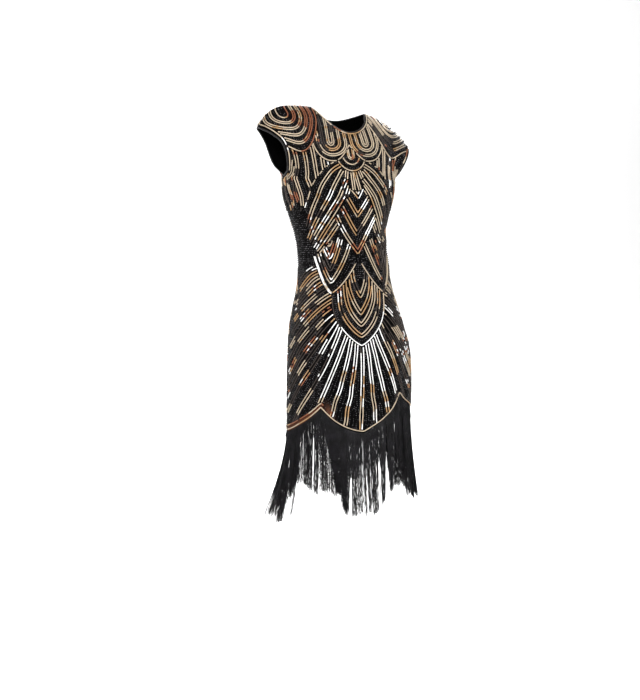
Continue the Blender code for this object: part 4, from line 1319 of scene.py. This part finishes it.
def sew_bugles(side, hand, u, v, colours, value_at, zone=everywhere, shift=0.0, edge=False):
    """Sews a line of bugle beads that fill each free stretch of it from end to end."""
    points, normals, u, v = string_beads(side, u, v, FINE_STEP, shift)
    if len(points) < 4:
        return []
    x, t = half_places(side, hand, u, v)
    ok = on_dress(side, u, v, edge) & zone(x, t) & (x > -0.0003) & occupied[side].free(u, v)
    ends = np.flatnonzero(np.diff(np.concatenate([[0], ok.astype(int), [0]]))).reshape(-1, 2)
    stacked = np.column_stack([points, normals, u, v, x, t])
    sewn = []
    for first, last in ends:
        count = int(round((last - 1 - first) * FINE_STEP / (BUGLE_LENGTH + BUGLE_GAP)))
        if count < 1:
            continue
        at = np.linspace(first, last - 1, count + 1)
        read = np.stack([np.interp(at, np.arange(len(stacked)), column) for column in stacked.T], axis=1)
        place = (at[1:] + at[:-1]) / 2.0 * FINE_STEP
        value = np.clip(value_at(place) + rng.uniform(-0.05, 0.05, count), 0.0, 0.9999)
        shares = colours((read[1:, 8] + read[:-1, 8]) / 2.0, (read[1:, 9] + read[:-1, 9]) / 2.0, hand)
        bounds = np.cumsum(shares, axis=1) / shares.sum(axis=1, keepdims=True)
        chosen = np.minimum((value[:, None] > bounds).sum(axis=1), len(COLOURS) - 1)
        beads = np.stack([read[:-1, :3], read[1:, :3], read[:-1, 3:6] + read[1:, 3:6]], axis=1)
        for index, name in enumerate(COLOURS):
            if (chosen == index).any():
                bugles[side, name].append(beads[chosen == index])
        sewn.append((u[first:last], v[first:last]))
    return sewn


def keep_clear(side, sewn):
    """Marks the places of lines that are sewn."""
    for u, v in sewn:
        occupied[side].take(u, v)


def sew_seeds(side, hand, u, v, zone=everywhere):
    """Sews a row of black seed beads where there is room."""
    points, normals, u, v = string_beads(side, u, v, SEED_PITCH)
    if len(points) < 2:
        return
    x, t = half_places(side, hand, u, v)
    ok = on_dress(side, u, v, False) & zone(x, t) & (x > -0.0002) & occupied[side].free(u, v)
    if ok.any():
        seeds[side].append(np.stack([points[ok], normals[ok]], axis=1))
        occupied[side].take(u[ok], v[ok], 3)


def half_line(side, hand, line):
    """A line of places x, t on one half, as columns and rows."""
    x, t = line.T
    if side < 0 and hand > 0:
        t = t - right_drop(x, t)
    return to_u_v(side, hand * x + (centre_shift(t) if side < 0 else 0.0), t)


def sew_lines(side, family):
    """Sews the pairs and single lines of a family on both halves, and keeps seeds out of the pairs."""
    curve, half_gap, pairs, singles, colours, run, zone, _ = family
    lines = [(k, (-half_gap, half_gap)) for k in pairs] + [(k, (0.0,)) for k in singles]
    for k, shifts in lines:
        sewn = []
        for hand in (-1.0, 1.0):
            u, v = half_line(side, hand, curve(k))
            value_at = runs_of_colour(run)
            for shift in shifts:
                sewn += sew_bugles(side, hand, u, v, colours, value_at, zone, shift)
            if len(shifts) > 1:
                _, _, u, v = string_beads(side, u, v, FINE_STEP)
                x, t = half_places(side, hand, u, v)
                ok = zone(x, t) & (x > -0.0003)
                sewn.append((u[ok], v[ok]))
        keep_clear(side, sewn)


SEED_ROWS = 9


def sew_rows(side, family):
    """Sews rows of seeds between the lines of a family."""
    curve, zone, ends = family[0], family[6], family[7]
    for hand in (-1.0, 1.0):
        for k in np.arange(*ends, 1.0 / SEED_ROWS) if ends else ():
            sew_seeds(side, hand, *half_line(side, hand, curve(k)), zone)


def sew_edges(side):
    """Bead lines beside the neck, the cap edges and the hem, doubled above the hem on the left."""
    u = np.linspace(-NECK_U, NECK_U, 81)
    sew_edge(side, u, neck_share(side, u) - NECK_LINE_DOWN / CHEST_HEIGHT, CHAMPAGNE, 0.030)
    for hand in (-1.0, 1.0):
        v = np.linspace(0.10, 0.93, 61)
        sew_edge(side, np.full(61, hand * CAP_LINE_U), v, STRIPED, 0.030)
    lines = [(0.985, 241, HEM_LINE_UP, CHAMPAGNE, 0.030), (HEM_BAND_U, 81, HEM_BAND_UP, RUSTY, 0.020)]
    for last, count, up, colours, run in lines if side < 0 else lines[:1]:
        u = np.linspace(-0.985, last, count)
        sew_edge(side, u, -1.0 + up / (underarm_z(u) - hem_z(u)), colours, run)


def sew_edge(side, u, v, colours, run):
    """A line of bugles along an edge, on both halves."""
    sewn = []
    for hand in (-1.0, 1.0):
        sewn += sew_bugles(side, hand, u, v + 0.0 * u, colours, runs_of_colour(run), edge=True)
    keep_clear(side, sewn)


def fill_seeds(side):
    """Level rows of seeds wherever there is still room."""
    u = np.linspace(-SIDE_CLEAR, SIDE_CLEAR, 161)
    levels = np.arange(-0.83, 0.05, SEED_PITCH)
    for hand in (-1.0, 1.0):
        for t in levels:
            v = to_u_v(side, u * np.interp(t, LEVELS, LEVEL_WIDTHS[side]), np.full(161, t))[1]
            sew_seeds(side, hand, u, np.clip(v, -1.0, 1.0))


for side in (-1.0, 1.0):
    sew_edges(side)
    for family in OUTLINES + FAMILIES + (RAY_FAMILY,):
        sew_lines(side, family)
    for family in FAMILIES + (RAY_FAMILY,):
        sew_rows(side, family)
    fill_seeds(side)


def bugle_mesh(name, beads, finish):
    """Six-sided tubes from end to end, a little shorter than the step between them, lying on the cloth."""
    start, end, normal = np.moveaxis(np.concatenate(beads), 1, 0)
    normal = unit(normal)
    axis = unit(end - start)
    across = unit(np.cross(axis, normal))
    trim = axis * BUGLE_GAP / 2.0
    ends = np.stack([start + trim, end - trim], axis=1) + (normal * BUGLE_RADIUS)[:, None]
    points, faces = tubes(ends, across, normal, np.full(2, BUGLE_RADIUS), 6)
    made = mesh_object(name, points, faces, finish)
    made.data.set_sharp_from_angle(angle=math.radians(75))
    return made


def seed_mesh(name, beads, finish):
    """Eight-faced beads that stand on the cloth, each turned its own way."""
    middle, normal = beads[:, 0], beads[:, 1]
    level = unit(np.cross(normal, np.array([0.0, 0.0, 1.0])) + 1e-6)
    up = np.cross(normal, level)
    turn = rng.uniform(0.0, math.pi / 2.0, len(beads))[:, None]
    along = np.cos(turn) * level + np.sin(turn) * up
    across = np.cross(normal, along)
    tip = unit(normal + 0.35 * rng.normal(size=normal.shape))
    middle = middle + normal * SEED_RADIUS * 0.8
    shifts = [along, across, -along, -across, tip, -tip]
    points = np.stack([middle + shift * SEED_RADIUS for shift in shifts], axis=1)
    first = np.arange(len(middle))[:, None] * 6
    around = np.arange(4)
    ahead = (around + 1) % 4
    top = np.stack([first + around, first + ahead, first + 4 + 0 * around], axis=-1).reshape(-1, 3)
    low = np.stack([first + ahead, first + around, first + 5 + 0 * around], axis=-1).reshape(-1, 3)
    made = mesh_object(name, points, [top, low], finish)
    made.data.shade_flat()
    return made


SIDE_NAMES = {-1.0: "front", 1.0: "back"}
for (side, name), beads in bugles.items():
    if beads:
        bugle_mesh(f"bugles_{name}_{SIDE_NAMES[side]}", beads, BEADS[name])
SEED_BANDS = {"chest": (-0.260, 9.0), "waist": (-0.520, -0.260), "skirt": (-9.0, -0.520)}
for side, beads in seeds.items():
    beads = np.concatenate(beads)
    for band, (low, high) in SEED_BANDS.items():
        height = beads[:, 0, 2]
        seed_mesh(f"seeds_{band}_{SIDE_NAMES[side]}", beads[(height > low) & (height <= high)], SEED)

# ---- bindings and zip ----
for nodes, finish in (
    (("neck_binding", "armhole_binding_left", "armhole_binding_right"), BINDING),
    (("zip_slider", "zip_pull_tab"), METAL),
):
    for node in nodes:
        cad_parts[node].material_slots[0].material = finish

# ---- fringe ----
STRAND_LENGTH = 0.2180
SIDE_LENGTHEN = 0.10
FLARE = 0.012
LEFT_FLARE = 0.040
LEFT_FLARE_WIDTH = 0.30
STRAND_BEND = 1.6
FLARE_WAVE = (0.005, 5.0, 0.0)
SWAY_WAVE = (0.006, 3.5, 0.6)
LENGTH_WAVES = ((0.020, 6.5, 0.0), (0.012, 14.5, 0.0))
STRAND_RADIUS = 0.00034
STRAND_LEVELS = np.array([0.0, 0.03, 0.12, 0.28, 0.46, 0.64, 0.82, 1.0])
# How the locks of the fringe lie, by place round the body.
LOCKS = (
    # place, lean_right, squeeze, length, curl, full: the share of strands of full length
    (-1.30, -0.006, 0.10, 1.02, 0.001, 0.90),
    (-0.98, -0.004, 0.10, 1.05, 0.001, 0.90),
    (-0.84, 0.000, 0.10, 1.04, 0.001, 0.60),
    (-0.74, 0.006, 0.15, 1.00, 0.001, 0.24),
    (-0.62, 0.030, 0.20, 0.92, 0.001, 0.26),
    (-0.50, 0.034, 0.25, 0.88, 0.001, 0.50),
    (-0.42, 0.024, 0.30, 0.86, 0.004, 0.95),
    (-0.28, 0.012, 0.30, 0.96, 0.004, 1.00),
    (-0.14, 0.004, 0.30, 1.08, 0.003, 0.85),
    (0.00, 0.000, 0.10, 1.04, 0.001, 0.60),
    (0.22, 0.000, 0.12, 1.04, 0.001, 0.75),
    (0.36, 0.002, 0.25, 0.92, 0.001, 0.75),
    (0.52, 0.006, 0.30, 1.00, 0.001, 0.70),
    (0.66, 0.006, 0.30, 1.04, 0.001, 0.36),
    (0.84, 0.008, 0.35, 1.08, 0.001, 0.95),
    (1.50, 0.004, 0.20, 0.98, 0.001, 0.80),
    (2.00, 0.000, 0.20, 1.00, 0.001, 0.80),
    (2.60, 0.006, 0.15, 1.00, 0.001, 0.90),
)
HEADING_DEPTH = (0.05, 0.14)
LOCK_WIDTH = (0.050, 0.120)


def wave(place, size, half_turns, start):
    """A sine wave round the hem."""
    return size * np.sin(math.pi * half_turns * place + start)


def strand_offsets(place, away):
    """How far a strand's end lies from its root: down by its length, out by its flare, and sideways."""
    off_left = (place + 1.0 + 2.0) % 4.0 - 2.0
    flare = FLARE + LEFT_FLARE * np.exp(-((off_left / LEFT_FLARE_WIDTH) ** 2)) + wave(place, *FLARE_WAVE)
    sway = wave(place, *SWAY_WAVE)
    uneven = sum(wave(place, *numbers) for numbers in LENGTH_WAVES)
    at_sides = np.abs(np.sin(math.pi / 2.0 * place)) ** 4
    length = STRAND_LENGTH * (1.0 + uneven + SIDE_LENGTHEN * at_sides)
    level = unit(away * np.array([1.0, 1.0, 0.0]))
    sideways = np.stack([-level[:, 1], level[:, 0], 0.0 * level[:, 0]], axis=-1)
    return length, flare, sway, level, sideways


def make_fringe(name, side, first, last, strands, node):
    """Fine strands hung under the hem. They draw together into locks, each with its own lean and length."""
    u = np.sort(rng.uniform(first + 0.002, last - 0.002, strands))
    hem, normal = on_cloth(side, u, np.full(strands, -1.0))
    place = place_round(side, u)
    edges = first + np.concatenate([[0.0], np.cumsum(rng.uniform(*LOCK_WIDTH, 60))])
    lock = np.searchsorted(edges, u) - 1
    middle = (edges[lock] + edges[lock + 1]) / 2.0
    table = np.array(LOCKS)
    at = place_round(side, middle)
    lean, squeeze, share, curl, full = (np.interp(at, table[:, 0], column) for column in table.T[1:])
    lean = lean + rng.normal(0.0, 0.006, 61)[lock]
    squeeze = np.clip(squeeze + rng.normal(0.0, 0.10, 61)[lock], 0.0, 0.8)
    share = share * rng.uniform(0.94, 1.0, 61)[lock] * rng.uniform(0.94, 1.0, strands)
    out = rng.normal(0.0, 0.004, 61)[lock]
    fall = np.where(rng.random(strands) < full, 1.0, rng.uniform(*HEADING_DEPTH, strands))
    share = share * fall
    length, flare, sway, level, sideways = strand_offsets(place, normal)
    to_right = np.sign(sideways[:, :1] * 1.0 + 1e-9)
    sideways = sideways * to_right
    across = (middle - u) * 0.224 * squeeze + lean + rng.normal(0.0, 0.0022, strands)
    sway = sway * to_right[:, 0]
    depth = rng.uniform(-1.0, 0.0, strands) * CLOTH_THICKNESS
    root = hem + normal * (depth - 0.0001)[:, None]
    a = STRAND_LEVELS[None, :, None]
    bend = a**STRAND_BEND
    ripple = (curl * rng.uniform(0.4, 1.6, strands))[:, None, None] * np.sin(
        a * rng.uniform(5.0, 14.0, strands)[:, None, None] + rng.uniform(0.0, 6.3, strands)[:, None, None]
    )
    flare, sway, across, out = (offset * fall for offset in (flare, sway, across, out))
    points = (
        root[:, None]
        + bend * (flare * rng.uniform(0.70, 1.05, strands) + out)[:, None, None] * level[:, None]
        + (bend * sway[:, None, None] + a * across[:, None, None] + a * ripple) * sideways[:, None]
        - a * (length * share)[:, None, None] * np.array([0.0, 0.0, 1.0])
    )
    radius = STRAND_RADIUS * (1.0 - 0.35 * STRAND_LEVELS)
    strands, faces = tubes(points, sideways, level, radius, 3)
    made = mesh_object(name, strands, faces, FRINGE)
    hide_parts(node)
    return made


front_fringe = make_fringe("front_fringe", -1.0, -1.0, 1.0, 3900, "fringe_front")
back_left_fringe = make_fringe("back_left_fringe", 1.0, -1.0, 0.0, 1500, "fringe_back_left")
back_right_fringe = make_fringe("back_right_fringe", 1.0, 0.0, 1.0, 1500, "fringe_back_right")

# ---- stage, lights and camera ----
FLOOR_Z = -1.510
ROOM_LIGHT = 0.19  # strength of the white room as a light
ROOM_SEEN = 0.97  # and as the camera sees it


def make_stage():
    """A pale floor that curves up into a backdrop far behind."""
    half_width, near, far, height, radius = 9.0, -7.0, 7.0, 7.0, 2.5
    bend = np.linspace(0.0, math.pi / 2.0, 13)
    y = np.concatenate([[near], far - radius + radius * np.sin(bend), [far]])
    z = FLOOR_Z + np.concatenate([[0.0], radius - radius * np.cos(bend), [height]])
    edges = [np.stack([np.full(len(y), x), y, z], axis=1) for x in (-half_width, half_width)]
    points = np.stack(edges, axis=1)
    mesh = bpy.data.meshes.new("studio_floor")
    mesh.from_pydata(points.reshape(-1, 3).tolist(), [], grid_quads(len(y), 2).tolist())
    mesh.shade_smooth()
    made, _, _ = new_material("pale_floor", (0.86, 0.86, 0.86), 0.85)
    mesh.materials.append(made)
    stage = bpy.data.objects.new("studio_floor", mesh)
    bpy.context.scene.collection.objects.link(stage)


def area_light(name, place, target, size, power):
    """A soft square light that faces a point."""
    light = bpy.data.lights.new(name, "AREA")
    light.size = size
    light.energy = power
    lamp = bpy.data.objects.new(name, light)
    lamp.location = place
    lamp.rotation_mode = "QUATERNION"
    lamp.rotation_quaternion = (Vector(target) - Vector(place)).to_track_quat("-Z", "Y")
    bpy.context.scene.collection.objects.link(lamp)


def make_world():
    """A white room that looks bright but lights the dress only softly."""
    world = bpy.data.worlds.new("studio")
    world.use_nodes = True
    tree = world.node_tree
    background = tree.nodes["Background"]
    background.inputs["Color"].default_value = (1.0, 1.0, 1.0, 1.0)
    seen = add_node(tree, "ShaderNodeLightPath").outputs["Is Camera Ray"]
    strength = add_node(tree, "ShaderNodeMapRange", {"To Min": ROOM_LIGHT, "To Max": ROOM_SEEN}, Value=seen)
    tree.links.new(strength.outputs["Result"], background.inputs["Strength"])
    bpy.context.scene.world = world


make_stage()
area_light("key", (-1.9, -3.2, 1.5), (0.0, 0.0, -0.5), 0.9, 150.0)
area_light("fill", (1.2, -3.6, 0.6), (0.0, 0.0, -0.5), 1.0, 45.0)
area_light("low_front", (-0.6, -3.4, -0.9), (0.0, 0.0, -0.5), 0.6, 34.0)
area_light("back_left", (-1.6, 3.4, 1.4), (0.0, 0.0, -0.4), 1.0, 90.0)
area_light("back_right", (1.9, 3.4, 1.0), (0.0, 0.0, -0.4), 1.0, 75.0)
area_light("overhead", (0.0, -0.9, 3.4), (0.0, 0.4, -1.5), 2.4, 90.0)
area_light("backdrop_low", (0.0, 1.6, 1.2), (0.0, 7.0, -1.0), 2.4, 420.0)
make_world()
bpy.context.scene.view_settings.view_transform = "Standard"

CAMERA_AZIMUTH = -15.0
CAMERA_PLACE = (-1.083, -3.851, -0.250)
AIM_DROP = 0.0924  # how far the camera looks down for each metre ahead
camera = bpy.data.cameras.new("camera")
camera.lens = 79.2
camera.sensor_width = 36.0
camera_object = bpy.data.objects.new("camera", camera)
camera_object.location = CAMERA_PLACE
heading = math.radians(CAMERA_AZIMUTH)
ahead = Vector((-math.sin(heading), math.cos(heading), -AIM_DROP))
camera_object.rotation_mode = "QUATERNION"
camera_object.rotation_quaternion = ahead.to_track_quat("-Z", "Y")
bpy.context.scene.collection.objects.link(camera_object)
bpy.context.scene.camera = camera_object
